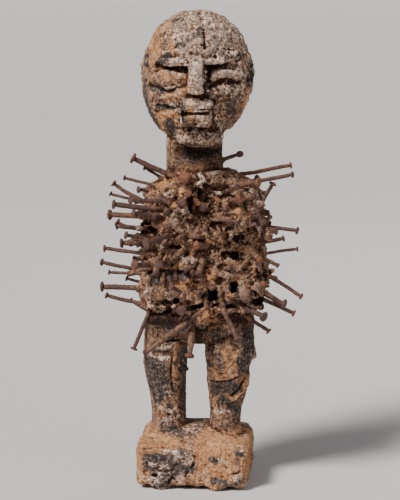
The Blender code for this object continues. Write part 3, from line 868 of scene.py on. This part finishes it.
def forge(template, spine, seed, name, crust=0.2, head=1.1, coat=0.0, dome=1.4, tone=None):
    """A copy of the template bent along a spine, with its own worn head and crusted foot.

    Coat thickens its outer half with earth, dome stretches its head, and tone sets how rusty it is.
    """
    wear = Wear(seed, head, tone)
    mesh = template.data.copy()
    places = points_of(mesh)
    tips = np.empty(len(places))
    _, first_way = spine.at(0)
    side = first_way.orthogonal().normalized()
    for index, (x, y, z) in enumerate(places):
        distance = min(z, 1) * spine.length
        middle, way = spine.at(distance)
        across = (side - way * side.dot(way)).normalized()
        up = way.cross(across)
        if z > 1:
            flat = wear.head(x, y, z, dome)
        else:
            flat = wear.shank(x, y, z, distance, middle, crust, coat)
        crooked = min(1, max(0, (distance - CROOKED_FROM) / CROOKED_FADE))
        drift = wandering(middle * 55 + wear.wobble) * CROOKED * crooked
        places[index] = middle + (across * flat.x + up * flat.y + way * flat.z) * spine.shank + drift
        earthy = max(faded(distance, LEAVES_WOOD, EARTH_FADE), min(1, coat * 2) if z > COAT_FROM else 0)
        tips[index] = z - 1 if z > 1 else -earthy
    set_points(mesh, places)
    set_attribute(mesh, "tone", np.full(len(places), wear.tone))
    set_attribute(mesh, "tip", tips)
    obj = bpy.data.objects.new(name, mesh)
    bpy.context.scene.collection.objects.link(obj)
    return obj


def finished(obj, material, slot, *nodes):
    """Gives a piece its material, puts it on the root body and hides the nodes that it replaces. The slot
    is not used.
    """
    obj.data.materials.clear()
    obj.data.materials.append(material)
    for polygon in obj.data.polygons:
        polygon.use_smooth = True
    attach(obj, "root")
    if nodes:
        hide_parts(*nodes)


# Finishes


class Num:
    """A number in a shader, which grows Math nodes as it is reckoned with."""

    def __init__(self, finish, socket):
        self.finish = finish
        self.socket = socket

    def reckon(self, operation, *others):
        node = self.finish.node("ShaderNodeMath", {"operation": operation}, *others)
        return Num(self.finish, node.outputs[0])

    def __add__(self, other):
        return self.reckon("ADD", self, other)

    def __sub__(self, other):
        return self.reckon("SUBTRACT", self, other)

    def __rsub__(self, other):
        return self.reckon("SUBTRACT", other, self)

    def __mul__(self, other):
        return self.reckon("MULTIPLY", self, other)

    __radd__ = __add__
    __rmul__ = __mul__

    def between(self, low, high):
        """0 below low, 1 above high, and a soft step between them."""
        node = self.finish.node(
            "ShaderNodeMapRange",
            {"interpolation_type": "SMOOTHSTEP"},
            **{"Value": self, "From Min": low, "From Max": high},
        )
        return Num(self.finish, node.outputs[0])


class Finish:
    """A material and the nodes that are added to it."""

    def __init__(self, name, specular=0.25):
        self.material = bpy.data.materials.new(name)
        self.material.use_nodes = True
        self.tree = self.material.node_tree
        self.shader = self.tree.nodes["Principled BSDF"]
        self.shader.inputs["Specular IOR Level"].default_value = specular
        self.place = self.node("ShaderNodeTexCoord", {}).outputs["Object"]

    def node(self, kind, settings, *values, **named):
        """A node whose settings are made first, then its sockets by order or by name."""
        node = self.tree.nodes.new(kind)
        for key, value in settings.items():
            setattr(node, key, value)
        for socket, value in zip(node.inputs, values):
            self.feed(socket, value)
        for key, value in named.items():
            self.feed(node.inputs[key], value)
        return node

    def feed(self, socket, value):
        if isinstance(value, Num):
            value = value.socket
        if isinstance(value, bpy.types.NodeSocket):
            self.tree.links.new(value, socket)
        elif hasattr(value, "__len__") and len(value) == 3 and socket.type == "RGBA":
            socket.default_value = (*value, 1)
        else:
            socket.default_value = value

    def attribute(self, name):
        return Num(self, self.node("ShaderNodeAttribute", {"attribute_name": name}).outputs["Fac"])

    def stretched(self, scale):
        """Object coordinates, scaled apart on each axis."""
        return self.node("ShaderNodeMapping", {}, Vector=self.place, Scale=scale).outputs[0]

    def warped(self, size, amount):
        """Object coordinates pushed about by noise of this size, both in metres."""
        push = self.node("ShaderNodeTexNoise", {}, Vector=self.place, Scale=1 / size, Detail=2.0).outputs[1]
        sum_of = {"operation": "MULTIPLY_ADD"}
        return self.node("ShaderNodeVectorMath", sum_of, push, [amount] * 3, self.place).outputs[0]

    def noise(self, size, detail=3.0, rough=0.6, place=None):
        """Soft noise between 0 and 1 whose lumps are this size, in metres."""
        place = place or self.place
        settings = {"Vector": place, "Scale": 1 / size, "Detail": detail, "Roughness": rough}
        return Num(self, self.node("ShaderNodeTexNoise", {}, **settings).outputs[0])

    def cells(self, size, feature, output, place):
        """Cells of this size, by the distance to their edges or by a tone of their own."""
        node = self.node("ShaderNodeTexVoronoi", {"feature": feature}, Vector=place, Scale=1 / size)
        return Num(self, node.outputs[output])

    def mix(self, under, over, share, way="MIX"):
        """One colour over another."""
        node = self.node("ShaderNodeMix", {"data_type": "RGBA", "blend_type": way})
        for socket, value in ((node.inputs[0], share), (node.inputs[6], under), (node.inputs[7], over)):
            self.feed(socket, value)
        return node.outputs[2]

    def shade(self, colour, share, dark):
        """The colour multiplied towards a dark one."""
        return self.mix(colour, dark, share, "MULTIPLY")

    def end(self, colour, roughness, height, depth):
        """Feeds the shader its colour, roughness and relief, whose depth is in metres."""
        bump = self.node("ShaderNodeBump", {}, Strength=1.0, Distance=depth, Height=height)
        self.feed(self.shader.inputs["Base Color"], colour)
        self.feed(self.shader.inputs["Roughness"], roughness)
        self.feed(self.shader.inputs["Normal"], bump.outputs[0])
        return self.material


def tinted(colour, factor):
    """A colour made darker or lighter, and no brighter than white."""
    return [min(1, channel * factor) for channel in colour]


def blend(one, other, share):
    """A share of one noise with the rest of another."""
    return one * share + other * (1 - share)


class WoodMarks:
    """The noises, cracks and attributes that the finishes of the wood have in common."""

    def __init__(self, finish):
        self.fine = finish.noise(1.1 * MM, 4, 0.65)
        self.small = finish.noise(2.8 * MM, 4, 0.62)
        self.broad = finish.noise(8 * MM, 4, 0.6)
        self.vast = finish.noise(23 * MM, 3, 0.55)
        self.flecks = finish.noise(0.85 * MM, 3, 0.7).between(0.56, 0.68)
        warped = finish.warped(4.5 * MM, 7 * MM)
        edges = finish.cells(FLAKE, "DISTANCE_TO_EDGE", "Distance", warped)
        broken = blend(self.broad, self.small, 0.5).between(0.40, 0.54)
        self.cracks = (1 - edges.between(0.01, 0.10)) * broken
        self.flake = finish.cells(FLAKE, "F1", "Color", warped)
        # Painted shade, read from the mesh: how far a point lies in a hollow, in a cast shadow or on a side
        # turned from the key light
        self.hollow = finish.attribute("hollow")
        self.crest = finish.attribute("crest")


def bare_wood(finish, colours, marks):
    """Orange-tan wood with darker grain, pale wear, stains and cracks."""
    grain = finish.noise(1.6 * MM, 3, 0.6, finish.stretched((1, 1, 0.12)))
    bare = finish.mix(colours.bare, tinted(colours.bare, 0.55), grain.between(0.42, 0.64))
    bare = finish.mix(bare, tinted(colours.bare, 1.3), marks.small.between(0.50, 0.66) * 0.7)
    worn = blend(marks.broad, marks.small, 0.5).between(0.50, 0.62)
    bare = finish.mix(bare, colours.chalk, worn * 0.5)
    stain = blend(marks.vast, marks.small, 0.4).between(0.50, 0.60)
    bare = finish.shade(bare, stain * 0.6, STAINED)
    return finish.shade(bare, marks.flecks * 0.5 + marks.cracks * 0.8, CRACKED)


def dark_earth(finish, colours, marks):
    """Dark earth with tan and chalky crumbs, and rust round the nails."""
    crumbs = marks.small.between(0.38, 0.62)
    earth = finish.mix(tinted(colours.earth, 0.5), tinted(colours.earth, 1.8), crumbs)
    tan = blend(marks.broad, marks.vast, 0.5).between(0.48, 0.60)
    earth = finish.mix(earth, tinted(colours.bare, 0.48), tan * 0.7)
    rusted = finish.attribute("rust") + (marks.broad - 0.5) * 1.6
    earth = finish.mix(earth, colours.rust, rusted.between(0.20, 0.80) * 0.75)
    dusty = (marks.fine + (marks.crest - 0.5) * 0.35).between(0.52, 0.68)
    return finish.mix(earth, tinted(colours.chalk, 0.8), dusty * 0.6)


def chalky_coat(finish, colours, marks):
    """A pale coat broken into flakes, with tan and slate stains, pits and cracks."""
    fine, small = marks.fine, marks.small
    crumbs = blend(small, fine, 0.35).between(0.38, 0.54)
    chalk = finish.mix(tinted(colours.chalk, 0.40), colours.chalk, crumbs)
    bright = blend(fine, marks.flake, 0.6).between(0.49, 0.62)
    chalk = finish.mix(chalk, tinted(colours.chalk, 1.35), bright * 0.9)
    tan = blend(marks.vast, small, 0.7).between(0.50, 0.62)
    chalk = finish.mix(chalk, tinted(colours.bare, 0.85), tan * 0.35)
    slate = (1 - blend(marks.broad, small, 0.7)).between(0.50, 0.57)
    chalk = finish.mix(chalk, colours.slate, slate * 0.7)
    chalk = finish.shade(chalk, (1 - marks.flake).between(0.40, 0.70) * 0.5, DULL_FLAKE)
    pits = (1 - blend(small, fine, 0.45)).between(0.52, 0.60)
    pitted = blend(marks.broad, marks.vast, 0.5).between(0.42, 0.52)
    chalk = finish.shade(chalk, pits * pitted * 0.75, CRACKED)
    return finish.shade(chalk, marks.cracks * 0.9 + marks.flecks * 0.25, DEEPLY_CRACKED)


def sooty_patina(finish, colours, marks):
    """Black patina with greyer and dusty crumbs."""
    grey = blend(marks.small, marks.fine, 0.5).between(0.42, 0.60)
    soot = finish.mix(colours.soot, tinted(colours.soot, 3.4), grey)
    dusty = blend(marks.fine, marks.small, 0.6).between(0.52, 0.62)
    return finish.mix(soot, tinted(colours.chalk, 0.8), dusty * 0.5)


def crusted_wood(colours, name="crusted_wood"):
    """Bare wood, sooty patina and chalky coat over dark earth, laid where the piece's own marks say, and
    painted shade over them in the hollows.
    """
    finish = Finish(name)
    marks = WoodMarks(finish)
    fine, small, broad = marks.fine - 0.5, marks.small - 0.5, marks.broad - 0.5
    ragged = small * 1.1 + broad * 1.3 + fine * 0.9
    bare = (finish.attribute("bare") + ragged * 1.3).between(0.34, 0.64)
    soot = (finish.attribute("soot") - small * 1.4 - broad * 1.8).between(0.36, 0.80)
    # Painted shade also thins the pale coat, so that shaded places stay dark
    dust = finish.attribute("chalk") + ragged + (marks.crest - 0.5) * 0.6 - marks.hollow * 0.6
    dust = dust.between(0.32, 0.66)
    colour = finish.mix(dark_earth(finish, colours, marks), bare_wood(finish, colours, marks), bare)
    colour = finish.mix(colour, sooty_patina(finish, colours, marks), soot)
    colour = finish.mix(colour, chalky_coat(finish, colours, marks), dust)
    # Painted shade: the colour is multiplied towards dark brown in hollows, cast shadows and sides turned
    # from the key light
    colour = finish.shade(colour, marks.hollow.between(0.10, 1.0), PAINTED_SHADE)
    crumbs = marks.fine * 0.7 + marks.small * 0.5 + finish.noise(0.6 * MM, 3, 0.7) * 0.35
    height = crumbs - marks.cracks * dust * 0.5
    return finish.end(colour, 0.80 + 0.15 * marks.small, height, 1.6 * MM)


def rusted_iron(colours, name="rusted_iron"):
    """Dull iron under scaly rust, earthy at the foot and brighter on some heads."""
    finish = Finish(name, 0.35)
    fine = finish.noise(0.9 * MM, 4, 0.65)
    small = finish.noise(2.6 * MM, 4, 0.6)
    broad = finish.noise(12 * MM, 2, 0.5)
    tip = finish.attribute("tip")
    colour = finish.mix(colours.iron, tinted(colours.iron, 2.1), small.between(0.44, 0.70))
    colour = finish.mix(colour, tinted(colours.iron, 0.45), fine.between(0.55, 0.72))
    rusty = finish.attribute("tone") * 0.7 + (small - 0.5) * 1.4 + (broad - 0.5) * 0.8
    rusty = (rusty + tip.between(0, 1) * 0.25).between(0.55, 0.95)
    rust = finish.mix(colours.rust, tinted(colours.rust, 0.55), fine.between(0.4, 0.66))
    colour = finish.mix(colour, rust, rusty * 0.8)
    crumbs = blend(fine, small, 0.6).between(0.44, 0.58)
    earth = finish.mix(tinted(colours.earth, 0.35), tinted(colours.earth, 2.0), crumbs)
    earthy = ((0 - tip) + (small - 0.5) * 1.3).between(0.35, 0.8)
    colour = finish.mix(colour, earth, earthy * 0.85)
    dust = ((fine - 0.5) * 1.2 + (broad - 0.5) * 1.5 + small - 0.5).between(0.45, 0.9)
    colour = finish.mix(colour, tinted(colours.chalk, 0.62), dust * 0.45)
    return finish.end(colour, 0.50 + 0.35 * small, fine + small * 0.6, 0.7 * MM)


# The carving


def added(primitive, **settings):
    """The object that a primitive's operator adds, with the others deselected first."""
    only(WOOD)
    primitive(**settings)
    return bpy.context.view_layer.objects.active


def ball(place, sizes, direction=None, level=2):
    """A lump of these half sizes, turned to a direction."""
    turn = turned_to(direction) if direction else (0, 0, 0)
    ico = bpy.ops.mesh.primitive_ico_sphere_add
    return added(ico, subdivisions=level, radius=1, location=place, rotation=turn, scale=sizes)


def plug(spine, entry):
    """Fills the hole of a nail, a little past its wall."""
    start, way = spine.at(0)
    reach = (entry - start).length
    return added(
        bpy.ops.mesh.primitive_cylinder_add,
        vertices=10,
        radius=spine.shank + 0.7 * MM,
        depth=reach + 0.6 * MM,
        location=start + way * (reach / 2 - 0.5 * MM),
        rotation=turned_to(way),
    )


def crusted_peg(place, out, thick, reach):
    """A nail that the crust has grown over, rooted in the trunk."""
    return added(
        bpy.ops.mesh.primitive_cone_add,
        vertices=8,
        radius1=thick * 1.5,
        radius2=thick,
        depth=reach + 6 * MM,
        location=place + out * (reach / 2 - 3 * MM),
        rotation=turned_to(out),
    )


def ray_to_trunk(tree, height, bearing):
    """The place that a level ray meets on the trunk, or None, and the way that it came from."""
    away = Vector((math.sin(bearing), -math.cos(bearing), 0))
    start = Vector((TRUNK_MIDDLE, 0, height)) + away * RAY_START
    return tree.ray_cast(start, -away)[0], away


def on_trunk(tree, draw):
    """A place on the trunk and a direction that stands out of it there, or None where it falls in a gap."""
    height = draw.uniform(*CRUST_BAND)
    place, away = ray_to_trunk(tree, height, draw.uniform(-math.pi, math.pi))
    if place is None:
        return None
    lean = Vector((draw.uniform(-0.9, 0.9), draw.uniform(-0.5, 0.5), draw.uniform(-0.9, 0.7)))
    return place, (away + lean * 0.8).normalized()


def crust_stock(settings, spines):
    """A copy of the carving with plugged nail holes, collars round the nails and lumps, as one skin."""
    stock = copy_of(WOOD, "carving")
    tree = tree_of(stock)
    parts = [stock]
    draw = random.Random(11)
    for spine, entry in spines.values():
        _, way = spine.at(0)
        parts.append(plug(spine, entry))
        collar = spine.shank + draw.uniform(0.8, 2.0) * MM
        sizes = (collar, collar, collar * draw.uniform(0.7, 1.5))
        parts.append(ball(entry - way * 0.4 * MM, sizes, way))
    pegs = []
    for _ in range(settings.pegs):
        spot = on_trunk(tree, draw)
        if spot is None:
            continue
        place, out = spot
        thick = draw.uniform(1.5, 2.7) * MM
        reach = draw.uniform(3, 11) * MM
        parts.append(crusted_peg(place, out, thick, reach))
        if draw.random() < 0.35:
            parts.append(ball(place + out * reach, (thick * 2, thick * 2, thick * 0.9), out))
        pegs.append(place + out * reach * 0.6)
    for _ in range(settings.lumps):
        spot = on_trunk(tree, draw)
        if spot is None:
            continue
        place, out = spot
        size = draw.uniform(1.8, 4.4) * MM
        sizes = (size, size * draw.uniform(0.5, 1), size * draw.uniform(0.4, 0.8))
        parts.append(ball(place, sizes, out, 1))
    skin = join(parts[::-1], "carving")
    finish_modifier(skin, "REMESH", mode="VOXEL", voxel_size=settings.grain, adaptivity=0)
    finish_modifier(skin, "SMOOTH", factor=0.5, iterations=4)
    return skin, pegs


def reach_of(across, height, path):
    """How far points of the front view lie from a path."""
    nearest = np.full(len(across), np.inf)
    for (x, z), (end_x, end_z) in zip(path, path[1:]):
        run_x, run_z = end_x - x, end_z - z
        share = ((across - x) * run_x + (height - z) * run_z) / max(run_x**2 + run_z**2, 1e-9)
        share = np.clip(share, 0, 1)
        nearest = np.minimum(nearest, np.hypot(across - x - share * run_x, height - z - share * run_z))
    return nearest


def stroked(places, normals, kind, spread=1.0):
    """The sum of all strokes of a kind at each point of the front, 0 elsewhere; spread widens them."""
    total = np.zeros(len(places))
    across, height = places[:, 0] / MM, places[:, 2] / MM
    front = smoothstep(*FRONT_SLANT, -normals[:, 1]) * (places[:, 1] < FRONT_DEPTH)
    for amount, width, *path in STROKES[kind].values():
        width *= spread
        xs, zs = zip(*path)
        near = np.nonzero(
            (across > min(xs) - width)
            & (across < max(xs) + width)
            & (height > min(zs) - width)
            & (height < max(zs) + width)
            & (front > 0)
        )[0]
        gap = reach_of(across[near], height[near], path) / width
        total[near] += amount * (1 - smoothstep(0, 1, gap)) * front[near]
    return total


def soft_normals(mesh, rounds=12):
    normals = smooth_mean(mesh, normals_of(mesh), rounds)
    return normals / np.linalg.norm(normals, axis=1)[:, None]


def carve_forms(skin):
    """Works the strokes that raise or sink the front: brows, eyes, lips, folds, holes and cracks."""
    mesh = skin.data
    set_group(skin, "calm", stroked(points_of(mesh), soft_normals(mesh), "calm"))
    finish_modifier(skin, "SMOOTH", factor=0.5, iterations=60, vertex_group="calm")
    places = points_of(mesh)
    normals = soft_normals(mesh)
    set_points(mesh, places + normals * stroked(places, normals, "form")[:, None] * MM)
    finish_modifier(skin, "SMOOTH", factor=0.5, iterations=1)


def regions(places):
    """How far each point belongs to the parts of the carving."""
    height = places[:, 2]
    in_neck = 1 - smoothstep(*NECK_SIDE, np.hypot(places[:, 0] - NECK_MIDDLE, places[:, 1]))
    neck = smoothstep(*NECK_FOOT, height) * in_neck
    head = smoothstep(*NECK_TOP, height)
    over_trunk = np.maximum(neck, smoothstep(*TRUNK_TOP, height))
    under_trunk = 1 - smoothstep(*LEGS_TOP, height)
    return {
        "head": head,
        "neck": neck * (1 - head),
        "trunk": smoothstep(*TRUNK_HEM, height) * (1 - over_trunk),
        "hips": smoothstep(*HIPS_FOOT, height) * under_trunk,
        "legs": smoothstep(*LEGS_FOOT, height) * under_trunk,
        "plinth": 1 - smoothstep(*PLINTH_TOP, height),
        "all": np.ones(len(height)),
    }


def grain_line(name, scale):
    """An empty whose scale stretches the grain along its own axes."""
    line = bpy.data.objects.new(name, None)
    line.scale = scale
    bpy.context.scene.collection.objects.link(line)
    return line


def carve_relief(skin, settings):
    """Embosses the crust, creases, crackle and grain, one layer after another."""
    places = points_of(skin.data)
    normals = soft_normals(skin.data)
    plain = {
        "trunk": 0.75 * np.clip(stroked(places, normals, "calm"), 0, 1),
        "head": np.clip(stroked(places, normals, "crisp"), 0, 1),
    }
    for name, weights in regions(places).items():
        set_group(skin, name, weights * (1 - plain.get(name, 0)))
    upright = grain_line("grain_line", (1, 1, GRAIN_STRETCH))
    level = grain_line("level_line", (GRAIN_STRETCH, GRAIN_STRETCH, 1))
    bpy.context.view_layer.update()
    layers = (
        ("crust_folds", settings.crust * 1.5, "trunk"),
        ("crust_lumps", settings.crust * 1.2, "trunk"),
        ("crust_cobbles", settings.crust * 0.3, "trunk", LOW_LEVEL),
        ("crust_creases", -settings.crease * 0.6, "trunk", LOW_LEVEL),
        ("crust_crumbs", 0.3 * MM, "trunk"),
        ("crust_crumbs", 0.8 * MM, "all"),
        ("coat_dents", 2.6 * MM, "head"),
        ("coat_crackle", settings.crackle, "head", HIGH_LEVEL),
        ("coat_flakes", 1.6 * MM, "head"),
        ("crust_crumbs", 0.7 * MM, "head"),
        ("coat_flakes", 1.4 * MM, "plinth"),
        ("crust_creases", 1.2 * MM, "plinth", LOW_LEVEL),
        ("crust_creases", 1.2 * MM, "legs", LOW_LEVEL),
        ("grain_streaks", -settings.streak, "legs", LOW_LEVEL, upright),
        ("grain_streaks", -settings.streak, "plinth", LOW_LEVEL, level),
    )
    for layer in layers:
        emboss(skin, *layer)
    for line in (upright, level):
        bpy.data.objects.remove(line, do_unlink=True)


def rust_round(places, spots, reach):
    """1 at the nails and 0 past their reach, which is longer below them, where rust runs down."""
    rust = np.zeros(len(places))
    for spot in spots:
        away = places - np.array(spot)
        away[:, 2] = np.where(away[:, 2] < 0, away[:, 2] * 0.6, away[:, 2] * 1.3)
        rust = np.maximum(rust, 1 - np.sqrt((away**2).sum(1)) / reach)
    return rust


def mark(skin, entries, pegs):
    """Writes the painted shade of hollows, the crests and the marks of each finish into the mesh for the
    shader.
    """
    mesh = skin.data
    places = points_of(mesh)
    normals = normals_of(mesh)
    near = ((smooth_mean(mesh, places, 5) - places) * normals).sum(1)
    far = ((smooth_mean(mesh, places, 36) - places) * normals).sum(1)
    places[:, 2] = np.maximum(places[:, 2], FOOT.z)
    set_points(mesh, places)
    crest = 0.5 + np.clip(-far / (1.6 * MM), -1, 1) * 0.3 + np.clip(-near / (0.3 * MM), -1, 1) * 0.2
    set_attribute(mesh, "crest", crest)
    zones = regions(places)
    tones = {
        name: sum(share * zones[zone] for zone, share in shares.items())
        for name, shares in GROUND.items()
    }
    tones["rust"] = np.maximum(rust_round(places, entries, NAIL_RUST), rust_round(places, pegs, PEG_RUST))
    # Painted shade in the mesh's own creases and hollows, stronger where they are deeper and wider
    tones["hollow"] += np.clip(near / (0.40 * MM), 0, 1) * 0.4 + np.clip(far / (2.0 * MM), 0, 1) * 0.9
    broad = soft_normals(mesh, 16)
    marks = {name: stroked(places, broad, name, 1.3) for name in tones}
    marks["chalk"] -= np.clip(marks["bare"] + marks["soot"], 0, 1) * 0.5
    for name, values in tones.items():
        set_attribute(mesh, name, values + marks[name])


def parted(skin, name, low, high, material):
    """One piece of the carving between two heights, closed where it is cut."""
    piece = bpy.data.objects.new(name, skin.data.copy())
    bpy.context.scene.collection.objects.link(piece)
    only(piece)
    bpy.ops.object.mode_set(mode="EDIT")
    for height, inner, outer in ((low, True, False), (high, False, True)):
        if height is None:
            continue
        bpy.ops.mesh.select_all(action="SELECT")
        bpy.ops.mesh.bisect(
            plane_co=(0, 0, height), plane_no=(0, 0, 1), use_fill=True, clear_inner=inner, clear_outer=outer
        )
    bpy.ops.object.mode_set(mode="OBJECT")
    finished(piece, material, "wood", "figure")


class NAILFIGURE_OT_carving(bpy.types.Operator):
    """Make the crusted carving: its head, trunk, and legs with the plinth"""

    bl_idname = "nailfigure.carving"
    bl_label = "Carving"

    def execute(self, context):
        settings = context.scene.nail_figure_carving
        spines = nail_spines()
        skin, pegs = crust_stock(settings, spines)
        carve_forms(skin)
        carve_relief(skin, settings)
        mark(skin, [entry for _, entry in spines.values()], pegs)
        skin.vertex_groups.clear()
        wood = crusted_wood(context.scene.nail_figure_colours)
        parted(skin, "carved_head", NECK_CUT, None, wood)
        parted(skin, "carved_trunk", HIP_CUT, NECK_CUT, wood)
        parted(skin, "carved_legs_and_plinth", None, HIP_CUT, wood)
        bpy.data.objects.remove(skin, do_unlink=True)
        return {"FINISHED"}


class NAILFIGURE_OT_nails(bpy.types.Operator):
    """Make the driven nails again with worn heads and rust, group by group"""

    bl_idname = "nailfigure.nails"
    bl_label = "Nails"

    def execute(self, context):
        settings = context.scene.nail_figure_nails
        iron = rusted_iron(context.scene.nail_figure_colours)
        template = nail_template("nail_template", 12, 22, True)
        spines = nail_spines()
        for group in NAIL_GROUPS:
            names = [name for name in spines if name.rsplit("_", 1)[0] == "nail_" + group]
            if not names:
                raise RuntimeError(f"no nails in the group {group}")
            nails = []
            for name in names:
                looks = NAIL_LOOKS.get(name, {})
                nails.append(forge(template, spines[name][0], name, name + "_forged", **looks))
            piece = join(nails, group + "_nails")
            piece.vertex_groups.clear()
            emboss(piece, "rust_pitting", settings.pitting)
            finished(piece, iron, "iron", *names)
        bpy.data.objects.remove(template, do_unlink=True)
        return {"FINISHED"}


def stub_spine(tree, draw):
    """The line of a broken nail that stands in the trunk's front, or None where it falls in a gap."""
    height = draw.uniform(*STUB_BAND)
    place, away = ray_to_trunk(tree, height, draw.gauss(0, 0.75))
    if place is None:
        return None
    lean = Vector((draw.uniform(-1.1, 1.1), draw.uniform(-0.3, 0.3), draw.uniform(-0.9, 0.4)))
    out = (away + lean).normalized()
    reach = draw.uniform(3, 13) * MM
    shank = draw.choice((1.3, 1.5, 1.8, 2.1)) * MM
    return Spine([place - out * STUB_ROOT, place, place + out * reach], shank)


class NAILFIGURE_OT_stubs(bpy.types.Operator):
    """Add the broken and lesser nails that stand in the crust of the trunk"""

    bl_idname = "nailfigure.stubs"
    bl_label = "Stubs"

    def execute(self, context):
        settings = context.scene.nail_figure_nails
        iron = bpy.data.materials["rusted_iron"]
        tree = tree_of(copy_of(WOOD, "stub_reader"))
        bpy.data.objects.remove(bpy.data.objects["stub_reader"], do_unlink=True)
        whole = nail_template("whole_template", 10, 12, True)
        broken = nail_template("broken_template", 10, 10, False)
        draw = random.Random(5)
        made = []
        while len(made) < settings.stubs:
            spine = stub_spine(tree, draw)
            if spine is None:
                continue
            template = whole if draw.random() < 0.4 else broken
            made.append(forge(template, spine, len(made) * 7 + 3, f"stub_{len(made)}", 0.2, 0.9))
        piece = join(made, "broken_nails")
        emboss(piece, "rust_pitting", settings.pitting * 1.4)
        finished(piece, iron, "iron")
        for template in (whole, broken):
            bpy.data.objects.remove(template, do_unlink=True)
        return {"FINISHED"}


# The stage


def studio_light(name, kind, place, size, power, colour):
    """A soft light that faces the middle of the figure; a sun's size is the angle that it fills."""
    light = bpy.data.lights.new(name, kind)
    light.energy = power
    light.color = colour
    if kind == "SUN":
        light.angle = size
    else:
        light.shape = "DISK"
        light.size = size
    obj = bpy.data.objects.new(name, light)
    bpy.context.scene.collection.objects.link(obj)
    obj.location = place
    obj.rotation_euler = (Vector(LIT_MIDDLE) - Vector(place)).to_track_quat("-Z", "Y").to_euler()


def select_back_edge(floor):
    """Selects the floor's far edge, where the backdrop rises, in edit mode."""
    bpy.ops.mesh.select_all(action="DESELECT")
    sheet = bmesh.from_edit_mesh(floor.data)
    for edge in sheet.edges:
        if all(vert.co.y > 3 and vert.co.z < 1 for vert in edge.verts):
            edge.select_set(True)
    bmesh.update_edit_mesh(floor.data)


class NAILFIGURE_OT_stage(bpy.types.Operator):
    """Set the pale floor, the soft lights and the camera"""

    bl_idname = "nailfigure.stage"
    bl_label = "Stage"

    def execute(self, context):
        settings = context.scene.nail_figure_stage
        only(WOOD)
        bpy.ops.mesh.primitive_plane_add(size=FLOOR_SIDE, location=(0, 0, FOOT.z))
        floor = bpy.context.view_layer.objects.active
        floor.name = "floor"
        place_in_mesh(floor)
        bpy.ops.object.mode_set(mode="EDIT")
        bpy.ops.mesh.select_mode(type="EDGE")
        select_back_edge(floor)
        bpy.ops.mesh.extrude_region_move(TRANSFORM_OT_translate={"value": (0, 0, BACKDROP_RISE)})
        select_back_edge(floor)
        bpy.ops.mesh.bevel(offset=BACKDROP_BEND, segments=24)
        bpy.ops.object.mode_set(mode="OBJECT")
        bpy.ops.object.shade_smooth()
        paint = Finish("pale_floor")
        speck = paint.noise(0.02, 3)
        tint = paint.mix(settings.floor, tinted(settings.floor, 0.97), speck)
        floor.data.materials.append(paint.end(tint, 0.7 + 0.05 * speck, speck, 0.02 * MM))
        world = bpy.data.worlds.new("studio")
        world.use_nodes = True
        world.node_tree.nodes["Background"].inputs[0].default_value = SKY
        world.node_tree.nodes["Background"].inputs[1].default_value = SKY_STRENGTH
        context.scene.world = world
        studio_light("key_light", "SUN", KEY_PLACE, KEY_ANGLE, settings.key, (1.0, 0.97, 0.93))
        studio_light("fill_light", "AREA", FILL_PLACE, 1.2, settings.fill, (0.95, 0.97, 1.0))
        studio_light("rim_light", "AREA", RIM_PLACE, 0.8, settings.fill, (1, 1, 1))
        camera = bpy.data.cameras.new("camera")
        camera.lens = settings.lens
        camera.clip_start = 0.05
        viewer = bpy.data.objects.new("camera", camera)
        context.scene.collection.objects.link(viewer)
        level = math.cos(CAMERA_RISE)
        sideways, forward = math.sin(CAMERA_TURN) * level, math.cos(CAMERA_TURN) * level
        back = Vector((sideways, -forward, math.sin(CAMERA_RISE)))
        viewer.location = CAMERA_TARGET + back * CAMERA_AWAY
        viewer.rotation_euler = (-back).to_track_quat("-Z", "Y").to_euler()
        context.scene.camera = viewer
        return {"FINISHED"}


class NAILFIGURE_PT_panel(bpy.types.Panel):
    """Lists the steps and settings of the nail figure"""

    bl_idname = "NAILFIGURE_PT_panel"
    bl_label = "Nail figure"
    bl_space_type = "VIEW_3D"
    bl_region_type = "UI"
    bl_category = "Nail figure"

    def draw(self, context):
        for name, operator in STEPS:
            self.layout.operator(operator.bl_idname)
        for attribute, group in SETTINGS.items():
            box = self.layout.box()
            for key in group.__annotations__:
                box.prop(getattr(context.scene, attribute), key)


SETTINGS = {
    "nail_figure_carving": CarvingSettings,
    "nail_figure_nails": NailSettings,
    "nail_figure_colours": ColourSettings,
    "nail_figure_stage": StageSettings,
}
STEPS = (
    ("carving", NAILFIGURE_OT_carving),
    ("nails", NAILFIGURE_OT_nails),
    ("stubs", NAILFIGURE_OT_stubs),
    ("stage", NAILFIGURE_OT_stage),
)


def register():
    for kind in (*SETTINGS.values(), *(operator for _, operator in STEPS), NAILFIGURE_PT_panel):
        bpy.utils.register_class(kind)
    for attribute, group in SETTINGS.items():
        setattr(bpy.types.Scene, attribute, bpy.props.PointerProperty(type=group))


def unregister():
    for attribute in SETTINGS:
        delattr(bpy.types.Scene, attribute)
    for kind in (NAILFIGURE_PT_panel, *(operator for _, operator in STEPS), *SETTINGS.values()):
        bpy.utils.unregister_class(kind)


def main():
    register()
    for name, _ in STEPS:
        getattr(bpy.ops.nailfigure, name)()


if __name__ == "__main__":
    main()
